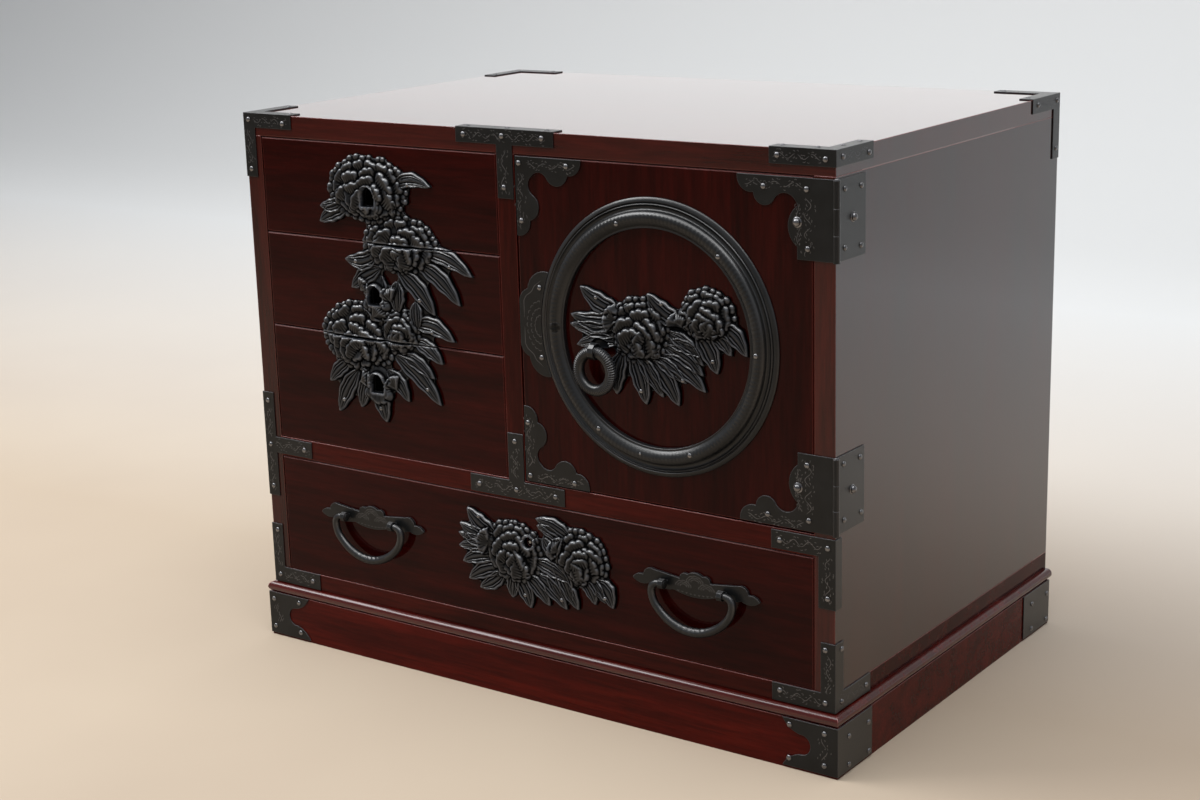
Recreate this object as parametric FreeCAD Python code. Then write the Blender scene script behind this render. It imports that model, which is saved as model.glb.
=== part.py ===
import FreeCAD, Part
import math, os

# A small tansu: a tabletop chest with three small drawers, a cupboard door and one wide drawer,
# all bound with black iron.
#
# Lengths are in millimetres.  X runs to the right, Y to the back and Z up.  The origin is on the
# floor under the middle of the whole chest, ironwork included.  The case front is the plane
# Y = case_front, and "height" on a piece of ironwork is how far it stands in front of its wood.

# --- Case ---------------------------------------------------------------------------------
case_width = 598.0
case_depth = 401.0
side_thickness = 18.0
top_thickness = 19.0
bottom_thickness = 16.0
middle_thickness = 18.0
partition_thickness = 18.0
back_thickness = 8.0
wide_bay_height = 110.5
upper_bay_height = 276.5
door_bay_width = 278.5
dust_board_thickness = 6.0

# --- Plinth and the rounded moulding on it ------------------------------------------------
plinth_height = 42.8
plinth_thickness = 16.0
plinth_overhang = 5.0
plinth_back_inset = 4.0
moulding_height = 9.2
moulding_overhang = 6.5
moulding_depth = 30.0

# --- Drawers ------------------------------------------------------------------------------
front_thickness = 18.0
lower_front_height = 106.0
middle_front_height = 85.0
front_gap = 0.8
front_easing = 0.8
drawer_side_gap = 1.0
drawer_rest_gap = 0.3
drawer_headroom = 8.0
drawer_back_gap = 3.0
drawer_wall = 9.0
drawer_bottom = 5.0
drawer_bottom_rise = 6.0
stop_width = 30.0
stop_depth = 12.0
stop_height = 4.0
stop_gap = 0.3
stop_inset = 40.0

# --- Door ---------------------------------------------------------------------------------
door_swing_gap = 1.4

# --- Iron straps that fold over the corners -----------------------------------------------
iron_thickness = 1.0
strap_width = 13.0
strap_edge_inset = 1.0
corner_arm = 57.0
corner_stem = 57.0
tee_width = 100.0
tee_stem_width = 16.0
tee_stem_length = 57.0
side_tee_half_height = 49.5
rail_strap_width = 15.0
base_strap_width = 15.0
middle_side_flange = 10.0
plinth_iron_arm = 49.0
plinth_iron_side_arm = 56.0
plinth_iron_clearance = 2.0
plinth_notch_radius = 8.5

# --- Scalloped plates: door corners, hinge leaves, lock plate ------------------------------
door_iron_arm = 65.0
door_iron_inset = 0.5
hinge_leaf_reach = 84.0
hinge_leaf_height = 61.5
hinge_column = 32.0
hinge_side_leaf = 44.0
hinge_top_inset = 2.0
barrel_radius = 2.6
pin_radius = 1.2
pin_play = 0.1
barrel_play = 0.3
pin_head_radius = 2.0
pin_head_height = 1.2
barrel_sides = 16
hinge_stud_radius = 4.2
hinge_stud_height = 3.4
hinge_stud_shift = 2.8
hinge_side_stud_reach = 25.0

# --- Round door plate ---------------------------------------------------------------------
ring_outer_radius = 112.5
ring_inset = 22.35
ring_flange_width = 11.0
ring_band_width = 13.0
ring_band_height = 8.0
ring_rim_height = 4.5
ring_edge_height = 2.5
ring_bead = 3.0
lock_plate_half_height = 43.0
lock_plate_thickness = 1.6
lock_plate_gap = 0.2

# --- Locks --------------------------------------------------------------------------------
keyhole_radius = 4.5
keyhole_depth = 4.0
key_post_radius = 1.4
key_collar_radius = 6.5
key_collar_height = 6.0
key_barrel_radius = 4.4
key_post_out = 2.0
wide_key_offset = 6.0
wide_keyhole_rise = 75.2
door_lock_inset = 1.5
wide_lock_inset = 3.0
lock_case_depth = 10.0
lock_case_across = 52.0
lock_key_margin = 3.25
lock_plate_wall = 2.0
bolt_thickness = 5.0
bolt_width = 14.0
bolt_tail_gap = 3.95
bolt_play = 0.4
bolt_travel = 8.0
mortise_extra = 2.0

# --- Flower ironwork ----------------------------------------------------------------------
leaf_edge = 2.0
leaf_ridge = 5.0
petal_layer = 4.5
petal_valley = 0.86
petal_count = 8
petal_facets = 3
leaf_facets = 3
inner_share = 0.66
heart_share = 0.42
boss_sides = 8
boss_taper = 0.45
flower_height = 11.0
pull_hole_width = 14.0
pull_hole_height = 17.0

# --- Bail handles of the wide drawer --------------------------------------------------------
handle_offset = 172.5
handle_rise = 65.5
handle_plate_half = 60.5
handle_plate_crest = 12.5
handle_plate_sag = 8.5
handle_plate_thickness = 2.6
bar_sides = 6
bend_facets = 4
bail_radius = 3.6
bail_half_width = 38.5
bail_drop = 36.0
bail_corner = 20.0
bail_shoulder = 7.0
bail_stub_radius = 2.3
bail_pivot_height = 8.1
post_offset = 28.0
post_width = 4.5
post_radius = 4.4
post_sides = 8
post_play = 0.3
post_shank = 3.6
post_shank_depth = 12.0
bail_stub_end = 0.8
shank_play = 0.1

# --- Ring pull of the door ------------------------------------------------------------------
pull_ring_radius = 16.3
pull_ring_bar = 5.0
pull_ring_height = 11.0
pull_ring_facets = 24
eye_bar = 1.4
eye_play = 0.6
eye_width = 5.0
eye_sides = 12
eye_room_radius = 9.0

# --- Heights and places worked out from the sizes above -----------------------------------
V = FreeCAD.Vector
UP = V(0, 0, 1)
ACROSS = V(1, 0, 0)
FRONTWARDS = V(0, -1, 0)

eye_radius = pull_ring_bar + eye_play + eye_bar
front_reach = max(flower_height, bail_pivot_height + post_radius, pull_ring_height + eye_radius)
case_front = (front_reach - case_depth) / 2
case_back = case_front + case_depth
case_right = case_width / 2
case_left = -case_right
inner_left = case_left + side_thickness
inner_right = case_right - side_thickness

case_bottom = plinth_height + moulding_height
wide_bay_bottom = case_bottom + bottom_thickness
wide_bay_top = wide_bay_bottom + wide_bay_height
upper_bay_bottom = wide_bay_top + middle_thickness
upper_bay_top = upper_bay_bottom + upper_bay_height
case_top = upper_bay_top + top_thickness
middle_bay_bottom = upper_bay_bottom + lower_front_height
top_bay_bottom = middle_bay_bottom + middle_front_height
back_face = case_back - back_thickness

partition_right = inner_right - door_bay_width
partition_left = partition_right - partition_thickness
column_x = (inner_left + partition_left) / 2

door_left = partition_right + door_swing_gap
door_right = inner_right - front_gap
door_low = upper_bay_bottom + front_gap
door_high = upper_bay_top - front_gap
ring_x = door_left + ring_inset + ring_outer_radius
ring_z = (door_low + door_high) / 2
ring_inner_radius = ring_outer_radius - ring_flange_width - ring_band_width
ring_crown_radius = ring_inner_radius + ring_band_width / 2
door_key_x = ring_x - ring_crown_radius

wide_left = inner_left + front_gap
wide_right = inner_right - front_gap
wide_low = wide_bay_bottom + drawer_rest_gap
wide_high = wide_bay_top - front_gap
wide_x = (wide_left + wide_right) / 2
wide_key_x = wide_x + wide_key_offset
wide_key_z = wide_low + wide_keyhole_rise

axis_offset = (barrel_radius + barrel_play) / math.sqrt(2)
hinge_x = case_right + axis_offset
hinge_y = case_front - axis_offset


# --- Helpers ------------------------------------------------------------------------------
def box(x_low, x_high, y_low, y_high, z_low, z_high):
    return Part.makeBox(x_high - x_low, y_high - y_low, z_high - z_low, V(x_low, y_low, z_low))


def rod(radius, start, end):
    along = end - start
    return Part.makeCylinder(radius, along.Length, start, along)


def on_front(x, z, height=0.0):
    """The point that stands at this height in front of the case's front plane."""
    return V(x, case_front - height, z)


def mirrored(shape):
    """The same piece for the other side of the chest."""
    return shape.mirror(V(0, 0, 0), ACROSS)


def fused(shapes):
    """One clean solid from pieces that overlap or share a face."""
    whole = shapes[0].multiFuse(shapes[1:]).removeSplitter()
    return whole.Solids[0] if len(whole.Solids) == 1 else whole


def outline_plate(start, stretches, thickness, height=0.0):
    """A plate in front of the wood, from an outline of points (x, z).

    Each stretch is an end point, for a straight side, or a middle point and an end point, for
    an arc.
    """
    edges = []
    here = on_front(start[0], start[1], height)
    for stretch in stretches + [(start,)]:
        there = on_front(stretch[-1][0], stretch[-1][1], height)
        if len(stretch) == 2:
            middle = on_front(stretch[0][0], stretch[0][1], height)
            edges.append(Part.Arc(here, middle, there).toShape())
        elif here.distanceToPoint(there) > 1e-6:
            edges.append(Part.makeLine(here, there))
        here = there
    return Part.Face(Part.Wire(edges)).extrude(FRONTWARDS * thickness)


def turned(profile, x, z):
    """A piece turned about an axis square to the front, from (radius, height) corners."""
    points = [on_front(x + radius, z, height) for radius, height in profile + profile[:1]]
    return Part.Face(Part.makePolygon(points)).revolve(on_front(x, z), FRONTWARDS, 360)


def polygon(radius, sides, centre, right, up):
    """The corners of a regular polygon, with one corner straight up from its centre."""
    corners = []
    for i in range(sides):
        angle = math.pi / 2 + 2 * math.pi * i / sides
        corners.append(centre + right * (radius * math.cos(angle)) + up * (radius * math.sin(angle)))
    return corners


def skinned(rings, closed=False):
    """A solid with flat faces between one ring of corners and the next, and flat ends if open."""
    faces = []
    pairs = list(zip(rings, rings[1:]))
    if closed:
        pairs.append((rings[-1], rings[0]))
    else:
        faces = [Part.Face(Part.makePolygon(ring + ring[:1])) for ring in (rings[0], rings[-1])]
    for near, far in pairs:
        for i in range(len(near)):
            corners = [near[i - 1], near[i], far[i], far[i - 1]]
            faces.append(Part.Face(Part.makePolygon(corners + corners[:1])))
    return Part.makeSolid(Part.makeShell(faces))


def boss(radius, rise, x, z, height=0.0):
    """A low tapered head, with its flat side at this height."""
    foot = polygon(radius, boss_sides, on_front(x, z, height), ACROSS, UP)
    head = polygon(radius * boss_taper, boss_sides, on_front(x, z, height + rise), ACROSS, UP)
    return skinned([foot, head])


def flat_sided_rod(radius, sides, start, end, up):
    """A straight bar with flat sides, with one corner towards up."""
    right = (end - start).cross(up).normalize()
    return skinned([polygon(radius, sides, point, right, up) for point in (start, end)])


def forged_bar(path, height, radius, closed=False):
    """A bar with flat sides along a bent path of points (x, z) at one height, mitred at each bend."""
    points = [on_front(x, z, height) for x, z in path]
    rings = []
    for i, point in enumerate(points):
        before = points[i - 1] if i or closed else point
        after = points[(i + 1) % len(points)] if i + 1 < len(points) or closed else point
        ways = [way.normalize() for way in (point - before, after - point) if way.Length > 0]
        along = sum(ways[1:], ways[0]).normalize()
        stretch = 1 / along.dot(ways[0])
        rings.append(polygon(radius, bar_sides, point, along.cross(FRONTWARDS) * stretch, FRONTWARDS))
    return skinned(rings, closed)


# --- Wooden case --------------------------------------------------------------------------
def mortise(x_low, x_high, z_low, z_high):
    """The pocket for a lock bolt, at the depth where the bolts run behind their fronts."""
    y_low = case_front + front_thickness + lock_plate_wall
    return box(x_low, x_high, y_low, y_low + bolt_thickness + 2 * bolt_play, z_low, z_high)


def case_boards():
    partition = box(partition_left, partition_right, case_front, back_face, upper_bay_bottom, upper_bay_top)
    door_pocket = mortise(partition_right - mortise_extra - bolt_travel, partition_right,
                          ring_z - bolt_width / 2 - bolt_play, ring_z + bolt_width / 2 + bolt_play)
    middle = box(inner_left, inner_right, case_front, back_face, wide_bay_top, upper_bay_bottom)
    half_bolt = bolt_width / 2 + bolt_play
    drawer_pocket = mortise(wide_key_x - half_bolt, wide_key_x + half_bolt,
                            wide_bay_top, wide_bay_top + bolt_travel + mortise_extra)
    left_side = box(case_left, inner_left, case_front, case_back, wide_bay_bottom, upper_bay_top)
    return {
        "top_board": box(case_left, case_right, case_front, case_back, upper_bay_top, case_top),
        "bottom_board": box(case_left, case_right, case_front, case_back, case_bottom, wide_bay_bottom),
        "side_panel_left": left_side,
        "side_panel_right": mirrored(left_side),
        "back_panel": box(inner_left, inner_right, back_face, case_back, wide_bay_bottom, upper_bay_top),
        "middle_board": middle.cut(drawer_pocket),
        "partition": partition.cut(door_pocket),
    }


def dust_boards():
    """The thin shelves that carry the two upper small drawers, set back behind their fronts."""
    boards = []
    for seam in (middle_bay_bottom, top_bay_bottom):
        boards.append(box(inner_left, partition_left, case_front + front_thickness + stop_gap, back_face,
                          seam - dust_board_thickness / 2, seam + dust_board_thickness / 2))
    return Part.makeCompound(boards)


def drawer_stops():
    """Blocks that meet the back of the lower small front and of the wide front."""
    blocks = []
    y_low = case_front + front_thickness + stop_gap
    for left, right, floor in ((inner_left, partition_left, upper_bay_bottom),
                               (inner_left, inner_right, wide_bay_bottom)):
        for x in (left + stop_inset, right - stop_inset - stop_width):
            blocks.append(box(x, x + stop_width, y_low, y_low + stop_depth, floor, floor + stop_height))
    return Part.makeCompound(blocks)


def plinth():
    half = case_right + plinth_overhang
    front = case_front - plinth_overhang
    back = case_back - plinth_back_inset
    front_inner = front + plinth_thickness
    side = box(half - plinth_thickness, half, front_inner, back, 0, plinth_height)
    inner = half - plinth_thickness
    return {
        "plinth_front": box(-half, half, front, front_inner, 0, plinth_height),
        "plinth_sides": Part.makeCompound([mirrored(side), side]),
        "plinth_back": box(-inner, inner, back - plinth_thickness, back, 0, plinth_height),
    }


def moulding_bar(length):
    """A bar with a half-round nose: it runs along X, with the nose towards the front."""
    nose = moulding_height / 2
    tip = -moulding_overhang
    corners = [V(0, moulding_depth, 0), V(0, tip + nose, 0), V(0, tip + nose, moulding_height),
               V(0, moulding_depth, moulding_height)]
    round_nose = Part.Arc(corners[1], V(0, tip, nose), corners[2]).toShape()
    edges = [Part.makeLine(corners[0], corners[1]), round_nose, Part.makeLine(corners[2], corners[3]),
             Part.makeLine(corners[3], corners[0])]
    bar = Part.Face(Part.Wire(edges)).extrude(ACROSS * length)
    return bar.translated(V(-length / 2, 0, 0))


def base_moulding():
    """Front and side bars, mitred at the front corners, and a plain bar between them behind."""
    half = case_right + moulding_overhang
    reach = moulding_depth + moulding_overhang
    mitre = Part.Face(Part.makePolygon([
        V(-half, -moulding_overhang, 0), V(half, -moulding_overhang, 0),
        V(half - reach, moulding_depth, 0), V(reach - half, moulding_depth, 0),
        V(-half, -moulding_overhang, 0)])).extrude(UP * moulding_height)
    front = moulding_bar(2 * half).common(mitre)
    long_bar = moulding_bar(4 * case_depth)
    long_bar.rotate(V(0, 0, 0), UP, 90)
    long_bar.translate(V(case_right, 0, 0))
    side_field = Part.Face(Part.makePolygon([
        V(half, -moulding_overhang, 0), V(half, case_depth, 0),
        V(half - reach, case_depth, 0), V(half - reach, moulding_depth, 0),
        V(half, -moulding_overhang, 0)])).extrude(UP * moulding_height)
    side = long_bar.common(side_field)
    inner = half - reach
    back = box(-inner, inner, case_depth - moulding_depth, case_depth, 0, moulding_height)
    bars = Part.makeCompound([front, side, mirrored(side), back])
    return bars.translated(V(0, case_front, plinth_height))


# --- Straps -------------------------------------------------------------------------------
def front_strap(x_low, x_high, z_low, z_high, face=0.0):
    """A flat strap on the front, where face is how far that wood stands proud of the case."""
    y_high = case_front - face
    return box(x_low, x_high, y_high - iron_thickness, y_high, z_low, z_high)


def side_strap(y_low, y_high, z_low, z_high, face=0.0):
    """A flat strap on the right-hand side, measured back from the front of that wood."""
    x_low = case_right + face
    y_start = case_front - face - iron_thickness
    return box(x_low, x_low + iron_thickness, y_start + y_low, y_start + y_high, z_low, z_high)


def top_strap(x_low, x_high, y_low, y_high):
    return box(x_low, x_high, y_low, y_high, case_top, case_top + iron_thickness)


def corner_iron_top_front(stem):
    """The right-hand iron at a top front corner; stem is how far it runs down, or 0 for none."""
    edge = case_right + iron_thickness
    near = case_front - iron_thickness
    top = case_top + iron_thickness
    low = top - strap_width
    pieces = [
        front_strap(edge - corner_arm, edge, low, top),
        side_strap(0, corner_arm, low, top),
        top_strap(edge - corner_arm, edge, near, near + strap_width),
        top_strap(edge - strap_width, edge, near, near + corner_arm),
    ]
    if stem:
        pieces.append(front_strap(edge - strap_width, edge, top - stem, top))
        pieces.append(side_strap(0, strap_width, top - stem, top))
    return fused(pieces)


def corner_iron_top_back():
    edge = case_right + iron_thickness
    top = case_top + iron_thickness
    depth = case_depth + iron_thickness
    return fused([
        side_strap(depth - corner_arm, depth, top - strap_width, top),
        side_strap(depth - strap_width, depth, top - corner_stem, top),
        top_strap(edge - corner_arm, edge, case_back - strap_width, case_back),
        top_strap(edge - strap_width, edge, case_back - corner_arm, case_back),
    ])


def tee_irons():
    """Tees over the top of the partition, over the left end of the rail and under the partition."""
    centre = (partition_left + partition_right) / 2
    half = tee_width / 2
    stem = tee_stem_width / 2
    top = case_top + iron_thickness
    near = case_front - iron_thickness
    top_tee = fused([
        front_strap(centre - half, centre + half, top - strap_width, top),
        front_strap(centre - stem, centre + stem, top - tee_stem_length, top),
        top_strap(centre - half, centre + half, near, near + strap_width),
    ])
    rail = (wide_bay_top + upper_bay_bottom) / 2
    rail_low = rail - rail_strap_width / 2
    rail_high = rail + rail_strap_width / 2
    edge = -case_right - iron_thickness
    side_low = rail - side_tee_half_height
    side_high = rail + side_tee_half_height
    left_tee = fused([
        front_strap(edge, edge + strap_width, side_low, side_high),
        front_strap(edge, edge + corner_arm, rail_low, rail_high),
        mirrored(side_strap(0, strap_width, side_low, side_high)),
    ])
    foot_tee = fused([
        front_strap(centre - half, centre + half, rail_low, rail_high),
        front_strap(centre - stem, centre + stem, rail_low, rail_low + tee_stem_length),
    ])
    return Part.makeCompound([top_tee, left_tee, foot_tee])


def angle_iron_middle_right():
    """The angle at the right end of the rail, just under the lower hinge."""
    rail = (wide_bay_top + upper_bay_bottom) / 2
    high = rail + rail_strap_width / 2
    edge = case_right + iron_thickness
    return fused([
        front_strap(edge - corner_arm, edge, high - rail_strap_width, high),
        front_strap(edge - rail_strap_width, edge, high - corner_arm, high),
        side_strap(0, middle_side_flange, high - corner_arm, high),
    ])


def corner_irons_base():
    """The irons at the foot of the case, standing on the moulding."""
    edge = case_right + iron_thickness
    low = case_bottom + strap_edge_inset
    right = fused([
        front_strap(edge - corner_arm, edge, low, low + base_strap_width),
        front_strap(edge - strap_width, edge, low, low + corner_stem),
        side_strap(0, corner_arm, low, low + base_strap_width),
        side_strap(0, strap_width, low, low + corner_stem),
    ])
    return Part.makeCompound([mirrored(right), right])


def plinth_irons_front():
    """Plates that fold round the front corners of the plinth, with a round bite and two horns."""
    edge = case_right + plinth_overhang + iron_thickness
    low = plinth_iron_clearance
    high = plinth_height
    tip = edge - plinth_iron_arm - iron_thickness
    bite_x = tip + plinth_notch_radius * 2
    middle = (low + high) / 2
    horn = (high - low) / 2 - plinth_notch_radius
    plate = outline_plate(
        (edge, low),
        [((edge, high),),
         ((tip, high),),
         ((tip + horn * 0.7, high - horn * 0.75), (bite_x - 1, middle + plinth_notch_radius)),
         ((bite_x + plinth_notch_radius, middle), (bite_x - 1, middle - plinth_notch_radius)),
         ((tip + horn * 0.7, low + horn * 0.75), (tip, low))],
        iron_thickness, plinth_overhang)
    flange = side_strap(0, plinth_iron_side_arm, low, high, plinth_overhang)
    right = fused([plate, flange])
    return Part.makeCompound([mirrored(right), right])


def plinth_irons_back():
    back = case_depth + plinth_overhang + iron_thickness - plinth_back_inset
    right = side_strap(back - plinth_iron_side_arm, back, plinth_iron_clearance, plinth_height,
                       plinth_overhang)
    return Part.makeCompound([mirrored(right), right])


# --- Scalloped plates ---------------------------------------------------------------------
def placed(points, corner, x_way, z_way):
    """Outline stretches from a corner, with u along x_way and v along z_way."""
    def place(point):
        return (corner[0] + x_way * point[0], corner[1] + z_way * point[1])
    return [tuple(place(point) for point in stretch) for stretch in points]


def door_corner_iron(corner, z_way):
    """A bracket with a round lobe, a bulge and a hollow on each arm, the same on both arms."""
    arm = door_iron_arm
    edge = [((arm * 0.955, arm * 0.15), (arm * 0.80, arm * 0.205)),
            ((arm * 0.635, arm * 0.345), (arm * 0.475, arm * 0.25)),
            ((arm * 0.355, arm * 0.188), (arm * 0.245, arm * 0.245))]
    there = edge[:]
    ends = [(arm, 0.0)] + [stretch[1] for stretch in edge]
    for i in (2, 1, 0):
        middle = edge[i][0]
        end = ends[i]
        there.append(((middle[1], middle[0]), (end[1], end[0])))
    stretches = [((arm, 0.0),)] + there
    return outline_plate(corner, placed(stretches, corner, 1, z_way), iron_thickness)


def door_corner_irons():
    left = door_left + door_iron_inset
    return Part.makeCompound([
        door_corner_iron((left, door_high - door_iron_inset), -1),
        door_corner_iron((left, door_low + door_iron_inset), 1),
    ])


def hinge_span(z_way):
    """The low and high ends of the upper (1) or lower (-1) hinge."""
    if z_way > 0:
        return upper_bay_top - hinge_top_inset - hinge_leaf_height, upper_bay_top - hinge_top_inset
    return upper_bay_bottom + hinge_top_inset, upper_bay_bottom + hinge_top_inset + hinge_leaf_height


def barrel(z_low, z_high, radius):
    foot = V(hinge_x, hinge_y, z_low)
    return flat_sided_rod(radius, barrel_sides, foot, V(hinge_x, hinge_y, z_high), ACROSS)


def knuckle_thirds(z_way):
    low, high = hinge_span(z_way)
    third = (high - low) / 3
    return low, low + third, high - third, high


def hinge_door_leaf(z_way):
    """The scalloped leaf on the door, with the two outer knuckles of the hinge."""
    low, first, second, high = knuckle_thirds(z_way)
    corner = (hinge_x, high) if z_way > 0 else (hinge_x, low)
    reach = hinge_leaf_reach + axis_offset
    column = hinge_column + axis_offset
    tall = hinge_leaf_height
    arm = door_iron_arm
    stretches = [
        ((reach, 0.0),),
        ((reach - arm * 0.045, arm * 0.15), (reach - arm * 0.22, arm * 0.205)),
        ((reach - arm * 0.365, arm * 0.35), (reach - arm * 0.50, arm * 0.26)),
        ((reach - arm * 0.64, arm * 0.19), (column, arm * 0.33)),
        ((column + arm * 0.12, arm * 0.58), (column, arm * 0.80)),
        ((column, tall),),
        ((0.0, tall),),
    ]
    leaf = outline_plate(corner, placed(stretches, corner, -1, -z_way), iron_thickness)
    notch = box(hinge_x - barrel_radius - barrel_play, hinge_x + barrel_radius + barrel_play,
                case_front - iron_thickness, case_front, first - barrel_play, second + barrel_play)
    relief = box(inner_right, hinge_x, case_front - barrel_play, case_front, low, high)
    leaf = leaf.cut(notch).cut(relief)
    knuckles = [barrel(low, first, barrel_radius), barrel(second, high, barrel_radius)]
    leaf = fused([leaf] + knuckles)
    return leaf.cut(barrel(low, high, pin_radius + pin_play))


def hinge_side_leaf_plate(z_way):
    """The plain leaf on the side of the case, with the middle knuckle."""
    low, first, second, high = knuckle_thirds(z_way)
    leaf = box(case_right, case_right + iron_thickness, hinge_y, case_front + hinge_side_leaf, low, high)
    clear = hinge_y + barrel_radius + barrel_play
    for z_low, z_high in ((low, first + barrel_play), (second - barrel_play, high)):
        leaf = leaf.cut(box(case_right, case_right + iron_thickness, hinge_y, clear, z_low, z_high))
    knuckle = barrel(first + barrel_play, second - barrel_play, barrel_radius)
    leaf = fused([leaf, knuckle])
    return leaf.cut(barrel(low, high, pin_radius + pin_play))


def hinge_pin(z_way):
    """A pin the length of the barrel, with a flat head that rests on the top knuckle."""
    low, high = hinge_span(z_way)
    return fused([barrel(low, high + pin_head_height, pin_radius),
                  barrel(high, high + pin_head_height, pin_head_radius)])


def hinge_studs_door():
    """The big-headed studs that hold the door leaves."""
    studs = []
    for z_way in (1, -1):
        low, high = hinge_span(z_way)
        z = (low + high) / 2 - z_way * hinge_stud_shift
        x = case_right - hinge_column
        studs.append(boss(hinge_stud_radius, hinge_stud_height, x, z, iron_thickness))
    return Part.makeCompound(studs)


def hinge_studs_side():
    """The big-headed studs that hold the side leaves."""
    studs = []
    for z_way in (1, -1):
        low, high = hinge_span(z_way)
        stud = boss(hinge_stud_radius, hinge_stud_height, 0, 0)
        stud.translate(V(0, -case_front, 0))
        stud.rotate(V(0, 0, 0), UP, 90)
        stud.translate(V(case_right + iron_thickness, case_front + hinge_side_stud_reach, (low + high) / 2))
        studs.append(stud)
    return Part.makeCompound(studs)


# --- Round door plate and its lock plate --------------------------------------------------
def door_ring():
    """A round frame turned from one profile: a raised band inside, a stepped rim outside."""
    band_end = ring_inner_radius + ring_band_width
    ease = ring_band_width * 0.3
    bead_low = ring_outer_radius - 2 * ring_bead
    profile = [
        (ring_inner_radius, 0), (ring_inner_radius, ring_rim_height),
        (ring_crown_radius - ease, ring_band_height), (ring_crown_radius + ease, ring_band_height),
        (band_end, ring_rim_height), (bead_low, ring_rim_height),
        (bead_low + ring_bead, ring_edge_height), (ring_outer_radius, ring_edge_height),
        (ring_outer_radius, 0),
    ]
    return turned(profile, ring_x, ring_z).cut(keyhole(door_key_x, ring_z))


def keyhole(x, z):
    """The hole for a key, through the ironwork in front of the lock."""
    return rod(keyhole_radius, on_front(x, z), on_front(x, z, flower_height + 1))


def barrel_hole(x, z):
    """The hole in a front that the key barrel of its lock fills."""
    return rod(key_barrel_radius + shank_play, on_front(x, z, -front_thickness), on_front(x, z))


def door_lock_plate():
    """A scalloped wing that shows beside the ring, on the side of the lock."""
    tip = door_left + door_iron_inset
    reach = ring_inset - door_iron_inset
    tall = lock_plate_half_height
    root = ring_x - math.sqrt(ring_outer_radius ** 2 - tall ** 2) + lock_plate_thickness
    upper = [((tip + reach * 0.62, tall * 0.90), (tip + reach * 0.40, tall * 0.665)),
             ((tip + reach * 0.13, tall * 0.575), (tip, tall * 0.36))]
    lower = [((tip + reach * 0.13, -tall * 0.575), (tip + reach * 0.40, -tall * 0.665)),
             ((tip + reach * 0.62, -tall * 0.90), (root, -tall))]
    stretches = placed(upper + [((tip, -tall * 0.36),)] + lower, (0, ring_z), 1, 1)
    plate = outline_plate((root, ring_z + tall), stretches, lock_plate_thickness)
    return plate.cut(rod(ring_outer_radius + lock_plate_gap, on_front(ring_x, ring_z),
                         on_front(ring_x, ring_z, 2 * lock_plate_thickness)))


# --- Locks --------------------------------------------------------------------------------
def lock_box(key, way, near, far, half, y_low, y_high):
    """A box along the way a bolt moves, from near to far; both are counted from the key."""
    xs = (key[0] + way[0] * near, key[0] + way[0] * far)
    zs = (key[1] + way[1] * near, key[1] + way[1] * far)
    half_x = half * abs(way[1])
    half_z = half * abs(way[0])
    return box(min(xs) - half_x, max(xs) + half_x, y_low, y_high, min(zs) - half_z, max(zs) + half_z)


def lock(key, way, mouth):
    """A box lock and its bolt; mouth is how far the open end is from the key.

    The barrel for the key fills its hole in the wood almost to the front, and carries a post.
    """
    inner_y = case_front + front_thickness
    y_low = inner_y + lock_plate_wall
    tail = key_barrel_radius + bolt_tail_gap
    body = lock_box(key, way, -key_barrel_radius - lock_key_margin, mouth, lock_case_across / 2,
                    inner_y, inner_y + lock_case_depth)
    slot = lock_box(key, way, tail - bolt_play, mouth, bolt_width / 2 + bolt_play,
                    y_low, y_low + bolt_thickness + 2 * bolt_play)
    bolt = lock_box(key, way, tail, mouth, bolt_width / 2,
                    y_low + bolt_play, y_low + bolt_play + bolt_thickness)
    behind = on_front(key[0], key[1], -front_thickness - lock_plate_wall / 2)
    barrel_end = on_front(key[0], key[1], -keyhole_depth)
    post_end = on_front(key[0], key[1], key_post_out)
    key_barrel = rod(key_barrel_radius, behind, barrel_end)
    key_post = flat_sided_rod(key_post_radius, bar_sides, barrel_end, post_end, UP)
    return fused([body.cut(slot), key_barrel, key_post]), bolt


def door_lock():
    return lock((door_key_x, ring_z), (-1, 0), door_key_x - door_left - door_lock_inset)


def wide_drawer_lock():
    return lock((wide_key_x, wide_key_z), (0, 1), wide_high - wide_lock_inset - wide_key_z)


# --- Flower ironwork ----------------------------------------------------------------------
def rosette(x, z, size, turn, thickness):
    """A scalloped disc of petals on the wood, as wide and high as size says, in half widths."""
    points = []
    for i in range(petal_count * petal_facets):
        part = (i % petal_facets) / petal_facets
        reach = petal_valley + (1 - petal_valley) * math.sin(math.pi * part) ** 0.5
        angle = turn + 2 * math.pi * i / (petal_count * petal_facets)
        points.append(on_front(x + size[0] * reach * math.cos(angle),
                               z + size[1] * reach * math.sin(angle)))
    return Part.Face(Part.makePolygon(points + points[:1])).extrude(FRONTWARDS * thickness)


def flower(x, z, half_width, half_height):
    """A full bloom: two layers of petals, the upper one turned half a petal, and a raised heart."""
    inner = (half_width * inner_share, half_height * inner_share)
    half_step = math.pi / petal_count
    heart = min(half_width, half_height) * heart_share
    return [
        rosette(x, z, (half_width, half_height), 0.3, petal_layer),
        rosette(x, z, inner, 0.3 + half_step, petal_layer * 1.8),
        boss(heart, flower_height - petal_layer, x, z, petal_layer),
    ]


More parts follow.
